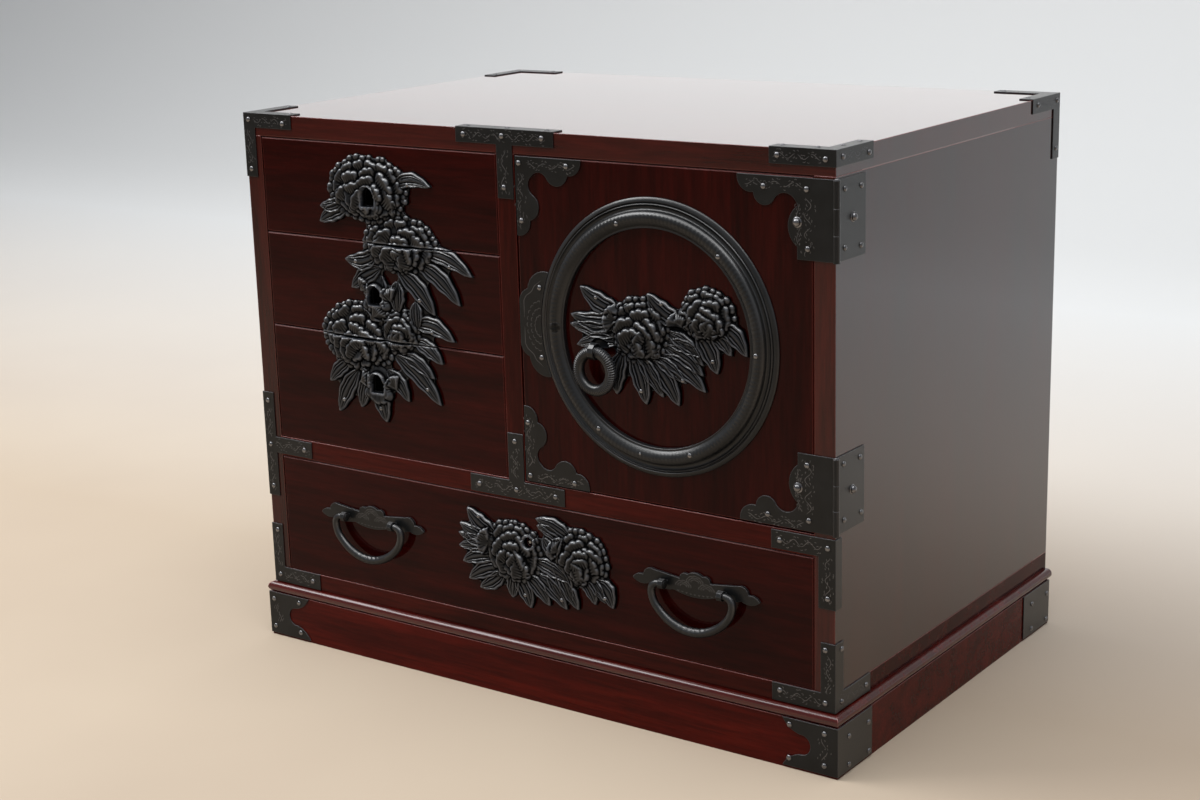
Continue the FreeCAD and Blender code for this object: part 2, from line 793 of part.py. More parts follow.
def leaf(base, tip, width):
    """A pointed leaf folded along its midrib, widest before the middle."""
    start = on_front(base[0], base[1])
    along = on_front(tip[0], tip[1]) - start
    side = V(-along.z, 0, along.x).normalize()
    edge = []
    for i in range(leaf_facets + 1):
        share = i / leaf_facets
        half = width / 2 * math.sin(math.pi * share ** 0.75)
        edge.append((start + along * share, side * half))
    outline = [point + half for point, half in edge] + [point - half for point, half in edge[-2:0:-1]]
    blade = Part.Face(Part.makePolygon(outline + outline[:1])).extrude(FRONTWARDS * leaf_ridge)
    wide = side * width
    low = FRONTWARDS * (2 * leaf_edge - leaf_ridge)
    ridge = start + FRONTWARDS * leaf_ridge
    section = [start - wide, start - wide + low, ridge, start + wide + low, start + wide]
    roof = Part.Face(Part.makePolygon(section + section[:1])).extrude(along)
    return blade.common(roof)


def spray(origin, flowers, leaves, scale=1.0):
    """One plate of flowers and leaves, from places measured from its own origin."""
    def place(x, z):
        return origin[0] + x * scale, origin[1] + z * scale

    pieces = []
    for x, z, half_width, half_height in flowers:
        pieces.extend(flower(*place(x, z), half_width * scale, half_height * scale))
    for base, tip, width in leaves:
        pieces.append(leaf(place(*base), place(*tip), width * scale))
    return fused(pieces)


def pull_hole(x, z):
    """The arched finger hole in the heart of a drawer's bloom."""
    half = pull_hole_width / 2
    low = z - pull_hole_height / 2
    spring = z + pull_hole_height / 2 - half
    return outline_plate((x - half, low),
                         [((x + half, low),), ((x + half, spring),),
                          ((x, spring + half), (x - half, spring))],
                         flower_height + 1)


# Blooms are (x, z, half width, half height) and leaves are (base, tip, width).  On the door they
# are in hundredths of the inner radius of its round plate, and elsewhere in millimetres.
door_blooms = [(-15, 6, 34, 33), (56, 28, 32, 27)]
door_leaves = [
    ((-41, 27), (-78, 41), 20), ((-43, 11), (-89, 12), 23), ((-43, -5), (-92, -2), 18),
    ((32, 27), (-6, 41), 18), ((68, 7), (94, -5), 18), ((41, 5), (66, -25), 23),
    ((9, -9), (51, -18), 18), ((5, -20), (52, -43), 18), ((-16, -23), (25, -59), 20),
    ((-25, -20), (-8, -62), 20), ((11, 7), (38, 9), 18), ((-38, -18), (-41, -59), 20),
]
door_pull = (-60, -16)
# The cascade runs down over the three small drawers and is cut along their seams.
cascade_blooms = [(-9, 236, 50, 31), (22, 190, 46, 28), (-24, 106, 45, 33), (8, 146, 30, 22)]
cascade_leaves = [
    ((24, 250), (62, 246), 14), ((-34, 222), (-66, 202), 18), ((-4, 184), (-36, 174), 16),
    ((52, 184), (102, 170), 16), ((44, 168), (89, 144), 20), ((24, 158), (62, 134), 18),
    ((10, 156), (-29, 153), 16), ((14, 118), (82, 112), 18), ((8, 84), (62, 56), 20),
    ((-36, 84), (-54, 33), 20), ((-14, 84), (0, 33), 20),
]
cascade_holes = [(-5, 231), (-3, 145), (-6, 66)]
wide_blooms = [(-17, -9, 31, 30), (57, -3, 29, 27)]
wide_leaves = [
    ((-34, 9), (-68, 21), 16), ((-40, -1), (-76, 1), 14), ((-40, -9), (-77, -13), 14),
    ((-32, -25), (-68, -46), 18), ((-16, -31), (0, -59), 18), ((0, -21), (36, -49), 18),
    ((54, -17), (82, -42), 18), ((42, 11), (10, 21), 14), ((26, -3), (44, -37), 18),
    ((6, 1), (38, 1), 18),
]


def small_drawer_spans():
    """The low and high ends of the three small fronts, from the top down."""
    seams = (upper_bay_top, top_bay_bottom, middle_bay_bottom, upper_bay_bottom)
    spans = []
    for high, low in zip(seams, seams[1:]):
        foot = low + drawer_rest_gap if low == upper_bay_bottom else low + front_gap / 2
        head = high - front_gap if high == upper_bay_top else high - front_gap / 2
        spans.append((foot, head))
    return spans


def cascade():
    """The cascade of blooms, one piece for each small drawer."""
    origin = (column_x, upper_bay_bottom)
    whole = spray(origin, cascade_blooms, cascade_leaves)
    plates = []
    for (low, high), hole in zip(small_drawer_spans(), cascade_holes):
        field = box(inner_left, partition_left, case_front - flower_height - 1, case_front, low, high)
        plate = whole.common(field).cut(pull_hole(origin[0] + hole[0], origin[1] + hole[1]))
        plates.append(plate)
    return plates


# --- Drawers ------------------------------------------------------------------------------
def front_board(x_low, x_high, z_low, z_high):
    """A drawer or door front, with its four front edges eased."""
    board = box(x_low, x_high, case_front, case_front + front_thickness, z_low, z_high)
    edges = [edge for edge in board.Edges if edge.BoundBox.YMax < case_front + 1e-6]
    return board.makeChamfer(front_easing, edges)


def drawer_tray(left, right, floor, ceiling):
    """The box behind a front: two sides and a back, and the bottom set in between them."""
    x_low = left + drawer_side_gap
    x_high = right - drawer_side_gap
    y_low = case_front + front_thickness
    y_high = back_face - drawer_back_gap
    low = floor + drawer_rest_gap
    high = ceiling - drawer_headroom
    walls = [
        box(x_low, x_low + drawer_wall, y_low, y_high, low, high),
        box(x_high - drawer_wall, x_high, y_low, y_high, low, high),
        box(x_low + drawer_wall, x_high - drawer_wall, y_high - drawer_wall, y_high, low, high),
    ]
    bottom_low = low + drawer_bottom_rise
    bottom = box(x_low + drawer_wall, x_high - drawer_wall, y_low, y_high - drawer_wall,
                 bottom_low, bottom_low + drawer_bottom)
    return Part.makeCompound(walls), bottom


def small_drawers():
    """Fronts, trays and flower plates; the two upper fronts reach down over their dust boards."""
    nodes = {}
    floors = (top_bay_bottom + dust_board_thickness / 2, middle_bay_bottom + dust_board_thickness / 2,
              upper_bay_bottom)
    ceilings = (upper_bay_top, top_bay_bottom - dust_board_thickness / 2,
                middle_bay_bottom - dust_board_thickness / 2)
    names = ("upper", "middle", "lower")
    for name, span, floor, ceiling, plate in zip(names, small_drawer_spans(), floors, ceilings, cascade()):
        walls, bottom = drawer_tray(inner_left, partition_left, floor, ceiling)
        nodes[name + "_drawer_front"] = front_board(inner_left + front_gap, partition_left - front_gap,
                                                    span[0], span[1])
        nodes[name + "_drawer_walls"] = walls
        nodes[name + "_drawer_bottom"] = bottom
        nodes[name + "_drawer_peony"] = plate
    return nodes


# --- Bail handles -------------------------------------------------------------------------
handle_z = wide_low + handle_rise


def handle_plate(x):
    """A cloud-shaped plate: a scalloped crest in the middle and a pointed wing on each side."""
    half = handle_plate_half
    crest = handle_plate_crest
    sag = handle_plate_sag
    wing = [((half * 0.94, crest * 0.14), (half * 0.83, crest * 0.20)),
            ((half * 0.78, crest * 0.62), (half * 0.66, crest * 0.68)),
            ((half * 0.24, crest * 0.44),),
            ((half * 0.21, crest * 0.78), (half * 0.12, crest * 0.80))]
    under = [((half * 0.87, -sag * 0.62), (half * 0.72, -sag * 0.40)),
             ((half * 0.54, -sag * 0.72), (half * 0.34, -sag * 0.58))]
    tip = (half, -sag * 0.20)

    def returned(stretches, start):
        """The mirror image of a half outline, run the other way, from its far end to its start."""
        points = [start] + [stretch[-1] for stretch in stretches]
        back = []
        for i in range(len(stretches) - 1, -1, -1):
            end = (-points[i][0], points[i][1])
            middle = stretches[i][0]
            back.append(((-middle[0], middle[1]), end) if len(stretches[i]) == 2 else (end,))
        return back

    over_crest = ((0.0, crest), (-wing[-1][-1][0], wing[-1][-1][1]))
    under_cloud = ((0.0, -sag), under[-1][-1])
    under_left = [tuple((-u, v) for u, v in stretch) for stretch in under]
    under_right = [tuple((-u, v) for u, v in stretch) for stretch in returned(under, tip)]
    whole = wing + [over_crest] + returned(wing, tip) + under_left + [under_cloud] + under_right
    plate = outline_plate((x + tip[0], handle_z + tip[1]), placed(whole, (x, handle_z), 1, 1),
                          handle_plate_thickness)
    for side in (-1, 1):
        centre = x + side * post_offset
        plate = plate.cut(shank(centre, handle_z, handle_plate_thickness, shank_play))
    return plate


def shank(x, z, height, play=0.0):
    """The square shank of an eye, from inside the wood up to this height, or the hole for it."""
    half = post_shank / 2 + play
    inner_end = case_front + post_shank_depth + play
    return box(x - half, x + half, case_front - height, inner_end, z - half, z + half)


def post(x):
    """An eye on a shank: the shank goes through the plate and into the drawer front."""
    pivot = on_front(x, handle_z, bail_pivot_height)
    half = ACROSS * (post_width / 2)
    head = flat_sided_rod(post_radius, post_sides, pivot - half, pivot + half, FRONTWARDS)
    whole = fused([head, shank(x, handle_z, bail_pivot_height)])
    return whole.cut(rod(bail_stub_radius + post_play, pivot - half * 2, pivot + half * 2))


def bent(middle, radius, first, last):
    """Points along an arc about a middle (across, up), between two angles in degrees."""
    points = []
    for i in range(bend_facets + 1):
        angle = math.radians(first + (last - first) * i / bend_facets)
        points.append((middle[0] + radius * math.cos(angle), middle[1] + radius * math.sin(angle)))
    return points


def bail(x):
    """A forged bar bent to a basket arch, with two stubs that turn in the eyes of the posts."""
    turn_x = bail_half_width - bail_shoulder
    corner_x = bail_half_width - bail_corner
    deep = bail_drop - bail_shoulder
    floor_radius = (corner_x ** 2 + deep ** 2 - bail_corner ** 2) / (2 * (deep - bail_corner))
    lean = math.degrees(math.atan2(corner_x, floor_radius - deep))
    half = bent((turn_x, -bail_shoulder), bail_shoulder, 90, 0)
    half += bent((corner_x, -bail_shoulder), bail_corner, 0, lean - 90)[1:]
    half += bent((0, floor_radius - bail_drop), floor_radius, lean - 90, -90)[1:]
    around = half + [(-across, up) for across, up in half[-2::-1]]
    bar = forged_bar([(x + across, handle_z + up) for across, up in around], bail_pivot_height, bail_radius)
    pivot = on_front(x, handle_z, bail_pivot_height)
    inner = ACROSS * (post_offset - post_width / 2 - bail_stub_end)
    outer = ACROSS * turn_x
    stubs = [flat_sided_rod(bail_stub_radius, post_sides, pivot + start, pivot + end, FRONTWARDS)
             for start, end in ((-outer, -inner), (inner, outer))]
    return fused([bar] + stubs)


def wide_drawer():
    walls, bottom = drawer_tray(inner_left, inner_right, wide_bay_bottom, wide_bay_top)
    front = front_board(wide_left, wide_right, wide_low, wide_high)
    front = front.cut(barrel_hole(wide_key_x, wide_key_z))
    case, bolt = wide_drawer_lock()
    plates = []
    posts = []
    for side in (-1, 1):
        x = wide_x + side * handle_offset
        plates.append(handle_plate(x))
        for half in (-1, 1):
            posts.append(post(x + half * post_offset))
            front = front.cut(shank(x + half * post_offset, handle_z, 0.0, shank_play))
    peony = spray((wide_key_x, wide_key_z), wide_blooms, wide_leaves)
    collar = rod(key_collar_radius, on_front(wide_key_x, wide_key_z),
                 on_front(wide_key_x, wide_key_z, key_collar_height))
    peony = peony.fuse(collar).cut(keyhole(wide_key_x, wide_key_z)).removeSplitter()
    return {
        "wide_drawer_front": front,
        "wide_drawer_walls": walls,
        "wide_drawer_bottom": bottom,
        "wide_drawer_peony": peony,
        "wide_drawer_lock_case": case,
        "wide_drawer_lock_bolt": bolt,
        "handle_plates": Part.makeCompound(plates),
        "handle_posts": Part.makeCompound(posts),
        "bail_left": bail(wide_x - handle_offset),
        "bail_right": bail(wide_x + handle_offset),
    }


# --- Ring pull of the door ----------------------------------------------------------------
pull_x = ring_x + door_pull[0] * ring_inner_radius / 100
pull_z = ring_z + door_pull[1] * ring_inner_radius / 100


def pull_ring():
    """A ring that hangs from its eye: the eye grips it at the top, where it turns."""
    step = 2 * math.pi / pull_ring_facets
    corner_radius = pull_ring_radius / math.cos(step / 2)
    path = []
    for i in range(pull_ring_facets):
        angle = math.pi / 2 - (i + 0.5) * step
        path.append((pull_x + corner_radius * math.cos(angle),
                     pull_z - pull_ring_radius + corner_radius * math.sin(angle)))
    return forged_bar(path, pull_ring_height, pull_ring_bar, closed=True)


def pull_ring_eye():
    """A wide eye on a shank that goes into the door."""
    pivot = on_front(pull_x, pull_z, pull_ring_height)
    half = ACROSS * (eye_width / 2)
    bore = pull_ring_bar + eye_play
    head = flat_sided_rod(eye_radius, eye_sides, pivot - half, pivot + half, FRONTWARDS)
    whole = fused([head, shank(pull_x, pull_z, pull_ring_height)])
    return whole.cut(flat_sided_rod(bore, eye_sides, pivot - half * 2, pivot + half * 2, FRONTWARDS))


# --- Door ---------------------------------------------------------------------------------
def door():
    case, bolt = door_lock()
    panel = front_board(door_left, door_right, door_low, door_high)
    panel = panel.cut(barrel_hole(door_key_x, ring_z)).cut(shank(pull_x, pull_z, 0.0, shank_play))
    eye_room = rod(eye_room_radius, on_front(pull_x, pull_z), on_front(pull_x, pull_z, flower_height))
    peony = spray((ring_x, ring_z), door_blooms, door_leaves, ring_inner_radius / 100).cut(eye_room)
    return {
        "door_panel": panel,
        "door_ring": door_ring(),
        "door_lock_plate": door_lock_plate(),
        "door_peony": peony,
        "door_corner_irons": door_corner_irons(),
        "door_lock_case": case,
        "door_lock_bolt": bolt,
        "hinge_door_leaves": Part.makeCompound([hinge_door_leaf(1), hinge_door_leaf(-1)]),
        "hinge_door_studs": hinge_studs_door(),
        "pull_ring_eye": pull_ring_eye(),
        "pull_ring": pull_ring(),
    }


# --- Everything ---------------------------------------------------------------------------
def case_ironwork():
    top_back = corner_iron_top_back()
    return {
        "corner_iron_top_left": mirrored(corner_iron_top_front(corner_stem)),
        "corner_iron_top_right": corner_iron_top_front(0),
        "corner_irons_top_back": Part.makeCompound([mirrored(top_back), top_back]),
        "tee_irons": tee_irons(),
        "angle_iron_middle_right": angle_iron_middle_right(),
        "corner_irons_base": corner_irons_base(),
        "plinth_irons_front": plinth_irons_front(),
        "plinth_irons_back": plinth_irons_back(),
        "hinge_side_leaves": Part.makeCompound([hinge_side_leaf_plate(1), hinge_side_leaf_plate(-1)]),
        "hinge_side_studs": hinge_studs_side(),
        "hinge_pins": Part.makeCompound([hinge_pin(1), hinge_pin(-1)]),
    }


nodes = {"dust_boards": dust_boards(), "drawer_stops": drawer_stops(), "base_moulding": base_moulding()}
for group in (case_boards, plinth, case_ironwork, small_drawers, wide_drawer, door):
    nodes.update(group())

os.makedirs("parts", exist_ok=True)
for name, shape in nodes.items():
    shape.exportStep("parts/" + name + ".step")
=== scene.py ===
"""The looks of a small tansu chest: lacquered wood, black ironwork, flowers in relief, nails."""
from math import atan2, cos, exp, hypot, pi, radians, sin

import bpy
import numpy as np
from mathutils import Matrix, Vector


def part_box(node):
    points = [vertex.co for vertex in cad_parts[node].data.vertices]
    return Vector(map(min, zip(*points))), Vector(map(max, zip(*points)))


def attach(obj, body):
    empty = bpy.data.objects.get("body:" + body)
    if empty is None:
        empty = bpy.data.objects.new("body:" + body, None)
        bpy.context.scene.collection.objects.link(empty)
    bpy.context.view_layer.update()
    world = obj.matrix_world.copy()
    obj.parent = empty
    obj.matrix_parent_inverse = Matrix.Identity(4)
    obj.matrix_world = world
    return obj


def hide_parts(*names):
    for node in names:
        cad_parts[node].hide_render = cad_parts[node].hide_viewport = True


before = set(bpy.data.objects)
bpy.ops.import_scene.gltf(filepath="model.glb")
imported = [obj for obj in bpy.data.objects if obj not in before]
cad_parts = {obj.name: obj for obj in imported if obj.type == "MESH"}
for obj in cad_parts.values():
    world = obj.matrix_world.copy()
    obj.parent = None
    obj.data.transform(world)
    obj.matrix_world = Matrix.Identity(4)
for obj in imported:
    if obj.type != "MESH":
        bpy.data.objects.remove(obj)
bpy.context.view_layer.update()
MM = 0.001
scene = bpy.context.scene
scene.view_settings.view_transform = "Standard"


def linked(name, data):
    """A new object of the scene."""
    obj = bpy.data.objects.new(name, data)
    scene.collection.objects.link(obj)
    return obj


# --- Camera ---
CAMERA_PLACE = Vector((1.02329, -1.49616, 0.69729))
CAMERA_VIEW = Vector((-0.56613573, 0.78467758, -0.25253005))
CAMERA_ROLL = -1.61
camera = linked("camera", bpy.data.cameras.new("camera"))
camera.data.lens = 61.5
camera.data.sensor_width = 36.0
camera.data.clip_end = 60.0
roll = Matrix.Rotation(radians(CAMERA_ROLL), 3, "Z").to_quaternion()
camera.rotation_mode = "QUATERNION"
camera.rotation_quaternion = CAMERA_VIEW.to_track_quat("-Z", "Y") @ roll
camera.location = CAMERA_PLACE
scene.camera = camera


# --- Materials ---
class Look:
    """A material, with short ways to add nodes to it."""

    def __init__(self, name):
        self.material = bpy.data.materials.new(name)
        self.material.use_nodes = True
        self.nodes = self.material.node_tree.nodes
        self.links = self.material.node_tree.links

    def feed(self, sockets, values):
        """Links or sets sockets by name or number."""
        for key, value in values.items():
            socket = sockets[key]
            if isinstance(value, bpy.types.NodeSocket):
                self.links.new(value, socket)
            else:
                socket.default_value = (*value, 1.0) if socket.type == "RGBA" else value

    def add(self, kind, values, **settings):
        """Adds a node, feeds its inputs and returns its outputs."""
        node = self.nodes.new("ShaderNode" + kind)
        for name, value in settings.items():
            setattr(node, name, value)
        self.feed(node.inputs, values)
        return node.outputs

    def shade(self, values):
        """Feeds the shader and returns the material."""
        self.feed(self.nodes["Principled BSDF"].inputs, values)
        return self.material

    def coordinates(self, scale=(1.0, 1.0, 1.0)):
        """Object coordinates in metres, scaled per axis."""
        place = self.add("TexCoord", {})["Object"]
        return self.add("Mapping", {"Vector": place, "Scale": scale})["Vector"]

    def noise(self, vector, scale, detail=4.0, roughness=0.55, distortion=0.0):
        return self.add("TexNoise", {"Vector": vector, "Scale": scale, "Detail": detail,
                                     "Roughness": roughness, "Distortion": distortion})["Fac"]

    def ramp(self, value, stops):
        """A colour ramp from (position, colour) stops; a grey is a single number."""
        node = self.nodes.new("ShaderNodeValToRGB")
        elements = node.color_ramp.elements
        while len(elements) < len(stops):
            elements.new(0.5)
        for element, (position, colour) in zip(elements, stops):
            element.position = position
            element.color = (*(colour if isinstance(colour, tuple) else (colour,) * 3), 1.0)
        self.links.new(value, node.inputs["Fac"])
        return node.outputs["Color"]

    def spread(self, value, low, high):
        """Maps 0..1 to low..high."""
        return self.add("MapRange", {"Value": value, "To Min": low, "To Max": high})["Result"]

    def share(self, value, low, high):
        """0 where value reads low, 1 where it reads high."""
        return self.add("MapRange", {"Value": value, "From Min": low, "From Max": high})["Result"]

    def mixed(self, share, first, second, blend="MIX"):
        return self.add("Mix", {0: share, 6: first, 7: second}, data_type="RGBA", blend_type=blend)[2]

    def calculated(self, operation, first, second):
        return self.add("Math", {0: first, 1: second}, operation=operation)[0]

    def normal(self):
        return self.add("NewGeometry", {})["Normal"]

    def facing(self, vector, axis, low, high):
        """0 where one axis of a vector reads low, 1 where it reads high."""
        return self.share(self.add("SeparateXYZ", {0: vector})[axis], low, high)

    def both_ways(self, axis):
        """1 on faces that look either way along an axis and 0 on the others."""
        return self.calculated("MAXIMUM", self.facing(self.normal(), axis, 0.4, 0.8),
                               self.facing(self.normal(), axis, -0.4, -0.8))

    def edges(self, radius, sharp):
        """1 on a hard edge and 0 on a flat face, with the rounded normal that tells them apart."""
        rounded = self.add("Bevel", {"Radius": radius}, samples=4)["Normal"]
        dot = self.add("VectorMath", {0: rounded, 1: self.normal()}, operation="DOT_PRODUCT")["Value"]
        return self.share(dot, 1.0, sharp), rounded

    def bump(self, height, strength, distance, normal=None):
        values = {"Strength": strength, "Distance": distance, "Height": height}
        return self.add("Bump", values | ({"Normal": normal} if normal else {}))["Normal"]


def scaled(colour, times, plus=0.0):
    return tuple(min(0.8, times * c + plus) for c in colour)


def drawn_out(grain, stretch):
    """The scale of a noise whose streaks follow the grain axis."""
    return tuple(1.0 if axis == grain else stretch for axis in "XYZ")


def lacquered_wood(name, dark, light, grain, mirror=1.19, gloss=0.04, front=None):
    """Stained wood under clear lacquer; grain is the axis that the fibres follow.

    Front is the (dark, light) stain of the edges that look to the front and the back, where it
    differs, and those edges are less glossy.
    """
    look = Look(name)
    vector = look.coordinates(drawn_out(grain, 14.0))
    broad = look.noise(vector, 3.2, 3.0, 0.5, 0.8)
    fibre = look.noise(vector, 26.0, 6.0, 0.65, 0.25)
    streak = look.noise(vector, 90.0, 3.0, 0.7)
    bands = look.ramp(broad, [(0.3, dark), (0.72, light)])
    look.shade({"Coat Weight": 1.0})
    if front:
        ahead = look.both_ways("Y")
        bands = look.mixed(ahead, bands, look.ramp(broad, [(0.3, front[0]), (0.72, front[1])]))
        look.shade({"Coat Weight": look.spread(ahead, 1.0, 0.3)})
    veins = look.ramp(fibre, [(0.35, 0.35), (0.62, 1.0)])
    colour = look.mixed(0.62, bands, veins, "MULTIPLY")
    edge, rounded = look.edges(0.0012, 0.80)
    # Worn edges take EDGE_WEAR; edges that face up take a painted highlight instead.
    edge_wear_and_highlight = look.mixed(look.facing(rounded, "Z", 0.1, 0.6), EDGE_WEAR, UP_EDGE_HIGHLIGHT)
    ripple = look.noise(look.coordinates(), 9.0, 2.0)
    return look.shade({
        "Base Color": look.mixed(edge, colour, edge_wear_and_highlight), "Roughness": look.spread(fibre, 0.32, 0.5),
        "Specular IOR Level": 0.0, "Coat Roughness": gloss, "Coat IOR": mirror,
        "Normal": look.bump(streak, 0.12, 0.0002, rounded),
        "Coat Normal": look.bump(ripple, 0.06, 0.0012, rounded)})


def plain_wood(name, dark, light, grain):
    """Unlacquered drawer wood."""
    look = Look(name)
    vector = look.coordinates(drawn_out(grain, 12.0))
    broad = look.noise(vector, 2.6, 4.0, 0.5, 1.2)
    fibre = look.noise(vector, 40.0, 5.0, 0.7)
    bands = look.ramp(broad, [(0.3, dark), (0.7, light)])
    veins = look.ramp(fibre, [(0.3, scaled(dark, 0.7)), (0.6, light)])
    return look.shade({
        "Base Color": look.mixed(0.4, bands, veins), "Roughness": look.spread(fibre, 0.55, 0.75),
        "Normal": look.bump(fibre, 0.2, 0.0003)})


def black_iron(name, base, edge_wear_and_highlight, roughness, shine, grain=1.0, ridges=None):
    """Iron under black lacquer: a fine hammered skin, with lighter worn metal along its edges, painted
    four times lighter as a highlight where they face up.

    Ridges is the colour of the crests of a cast relief, partly rubbed metal and partly painted
    highlight; base is then that of its hollows, darkened as painted shade.
    """
    look = Look(name)
    vector = look.coordinates()
    cloud = look.noise(vector, 34.0, 4.0, 0.6)
    pits = look.noise(vector, 900.0, 3.0, 0.6)
    edge, rounded = look.edges(0.0007, 0.86)
    patchy = look.calculated("MULTIPLY", edge, look.spread(cloud, 0.2, 1.2))
    if ridges:
        # Crests are painted lighter and shinier, partly as rubbed metal and partly as a painted
        # highlight; hollows keep the dark base as painted shade.
        crest = look.add("Attribute", {}, attribute_name="crest")
        rubbed_and_highlit = look.ramp(crest["Fac"], [(0.2, 0.0), (0.5, 0.12), (0.85, 1.0)])
        ground = look.mixed(rubbed_and_highlit, base, ridges)
        gloss = look.facing(crest["Vector"], "X", 0.33, 0.80)
    else:
        ground = look.ramp(cloud, [(0.35, base), (0.7, scaled(base, 1.6, 0.004))])
        # Painted sheen: faces that look along X get up to 2.6 times the specular level.
        gloss = look.spread(look.both_ways("X"), 1.0, 2.6)
    # Painted sheen of light from above: the specular level rises on faces that look up.
    upward = look.facing(look.normal(), "Z", -1.0, 1.0)
    lit = look.ramp(upward, [(0.12, 0.08), (0.5, 0.45), (0.78, 1.0)])
    level = look.calculated("MULTIPLY", look.calculated("MULTIPLY", gloss, lit), shine)
    # Painted highlight: edges that face up take four times the worn colour.
    edges_worn_and_highlit = look.mixed(look.facing(rounded, "Z", 0.1, 0.6), edge_wear_and_highlight, scaled(edge_wear_and_highlight, 4))
    return look.shade({
        "Base Color": look.mixed(patchy, ground, edges_worn_and_highlit), "Specular IOR Level": level,
        "Roughness": look.spread(cloud, roughness - 0.06, roughness + 0.1),
        "Normal": look.bump(pits, 0.25 * grain, 0.0003, rounded)})


def polished_steel(name, base, roughness):
    look = Look(name)
    cloud = look.noise(look.coordinates(), 160.0, 4.0, 0.6)
    return look.shade({
        "Base Color": look.ramp(cloud, [(0.3, scaled(base, 0.6)), (0.7, base)]), "Metallic": 1.0,
        "Roughness": look.spread(cloud, roughness, roughness + 0.15),
        "Normal": look.bump(cloud, 0.1, 0.0002)})


EDGE_WEAR = (0.22, 0.045, 0.036)
# Painted highlight: the colour of rounded wood edges that face up.
UP_EDGE_HIGHLIGHT = (0.62, 0.30, 0.29)
CASE = ((0.050, 0.0035, 0.0020), (0.120, 0.008, 0.0045))
RAIL = ((0.032, 0.0032, 0.0020), (0.078, 0.007, 0.0042))
FRONT = ((0.016, 0.0015, 0.0012), (0.042, 0.0032, 0.0022))

rail_wood = lacquered_wood("rail_wood", *RAIL, "X")
post_wood = lacquered_wood("post_wood", *RAIL, "Z")
side_wood = lacquered_wood("side_wood", FRONT[0], CASE[0], "Z", 1.87, 0.02, RAIL)
top_wood = lacquered_wood("top_wood", *RAIL, "X", 2.0, 0.02, RAIL)
front_wood = lacquered_wood("front_wood", *FRONT, "X", gloss=0.05)
door_wood = lacquered_wood("door_wood", *FRONT, "Z", gloss=0.05)
plinth_wood = lacquered_wood("plinth_wood", *CASE, "X", gloss=0.08)
moulding_wood = lacquered_wood("moulding_wood", *CASE, "X", 1.55, 0.1)
drawer_wood = plain_wood("drawer_wood", (0.42, 0.27, 0.15), (0.62, 0.45, 0.28), "Y")
inner_wood = plain_wood("inner_wood", (0.36, 0.22, 0.12), (0.55, 0.38, 0.22), "X")
strap_iron = black_iron("strap_iron", (0.0036, 0.0042, 0.0046), (0.08, 0.08, 0.086), 0.32, 0.62)
cast_iron = black_iron("cast_iron", (0.0052, 0.0060, 0.0070), (0.06, 0.06, 0.066), 0.30, 0.85, 1.2)
flower_iron = black_iron("flower_iron", (0.0015, 0.0016, 0.0018), (0.05, 0.05, 0.055), 0.30, 1.8,
                         1.2, (0.056, 0.064, 0.080))
nail_steel = polished_steel("nail_steel", (0.26, 0.26, 0.27), 0.2)
lock_steel = polished_steel("lock_steel", (0.45, 0.44, 0.42), 0.3)
engraved_line = polished_steel("engraved_line", (0.19, 0.19, 0.20), 0.4)

# Each material with the endings of the nodes that wear it; strap iron is for the rest.
WORN_BY = (
    (top_wood, "top_board"), (rail_wood, "bottom_board", "middle_board"), (post_wood, "partition"),
    (side_wood, "side_panel_left", "side_panel_right"), (door_wood, "door_panel"),
    (inner_wood, "back_panel", "dust_boards", "drawer_stops"), (moulding_wood, "base_moulding"),
    (plinth_wood, "plinth_front", "plinth_sides", "plinth_back"), (front_wood, "_drawer_front"),
    (drawer_wood, "_walls", "_bottom"), (nail_steel, "hinge_pins", "_studs"),
    (lock_steel, "_lock_case", "_lock_bolt"), (flower_iron, "_peony"),
    (cast_iron, "pull_ring", "pull_ring_eye", "bail_left", "bail_right", "door_ring"),
    (strap_iron, ""),
)
for node_name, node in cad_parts.items():
    node.data.materials.clear()
    node.data.materials.append(
        next(material for material, *ends in WORN_BY if node_name.endswith(tuple(ends))))


# --- Building pieces ---
FRONT_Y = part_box("partition")[0].y
RIGHT_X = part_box("side_panel_right")[1].x
TOP_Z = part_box("top_board")[1].z
random = np.random.default_rng(7)
draw = random.uniform

# Points of each outer face from millimetres: h is how far one stands before the wood.
PLACES = {
    "front": lambda u, v, h: (u * MM, FRONT_Y - h * MM, v * MM),
    "right": lambda u, v, h: (RIGHT_X + h * MM, u * MM, v * MM),
    "left": lambda u, v, h: (-RIGHT_X - h * MM, u * MM, v * MM),
    "top": lambda u, v, h: (u * MM, v * MM, TOP_Z + h * MM),
}
MIRRORED = ("front", "left")
on_front = PLACES["front"]


def middle(node_name):
    """The x, z and height before the wood of the middle of a node, in millimetres."""
    low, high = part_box(node_name)
    return ((low.x + high.x) / 2 / MM, (low.z + high.z) / 2 / MM,
            (FRONT_Y - (low.y + high.y) / 2) / MM)


def around(count):
    """Evenly spaced angles of a full turn."""
    return [2 * pi * i / count for i in range(count)]


def arc(x, z, radius, start, end, steps):
    """Points of an arc after its first one."""
    angles = [start + (end - start) * i / steps for i in range(1, steps + 1)]
    return [(x + radius * cos(angle), z + radius * sin(angle)) for angle in angles]


def unit(value):
    return np.clip(value, 0.0, 1.0)


def bump_line(value, place, width):
    return np.exp(-((value - place) / width) ** 2)


def resample(points, count):
    """The same line with evenly spaced points."""
    points = np.array(points)
    length = np.concatenate([[0.0], np.cumsum(np.hypot(*np.diff(points, axis=0).T))])
    at = np.linspace(0.0, length[-1], count)
    return list(zip(np.interp(at, length, points[:, 0]), np.interp(at, length, points[:, 1])))


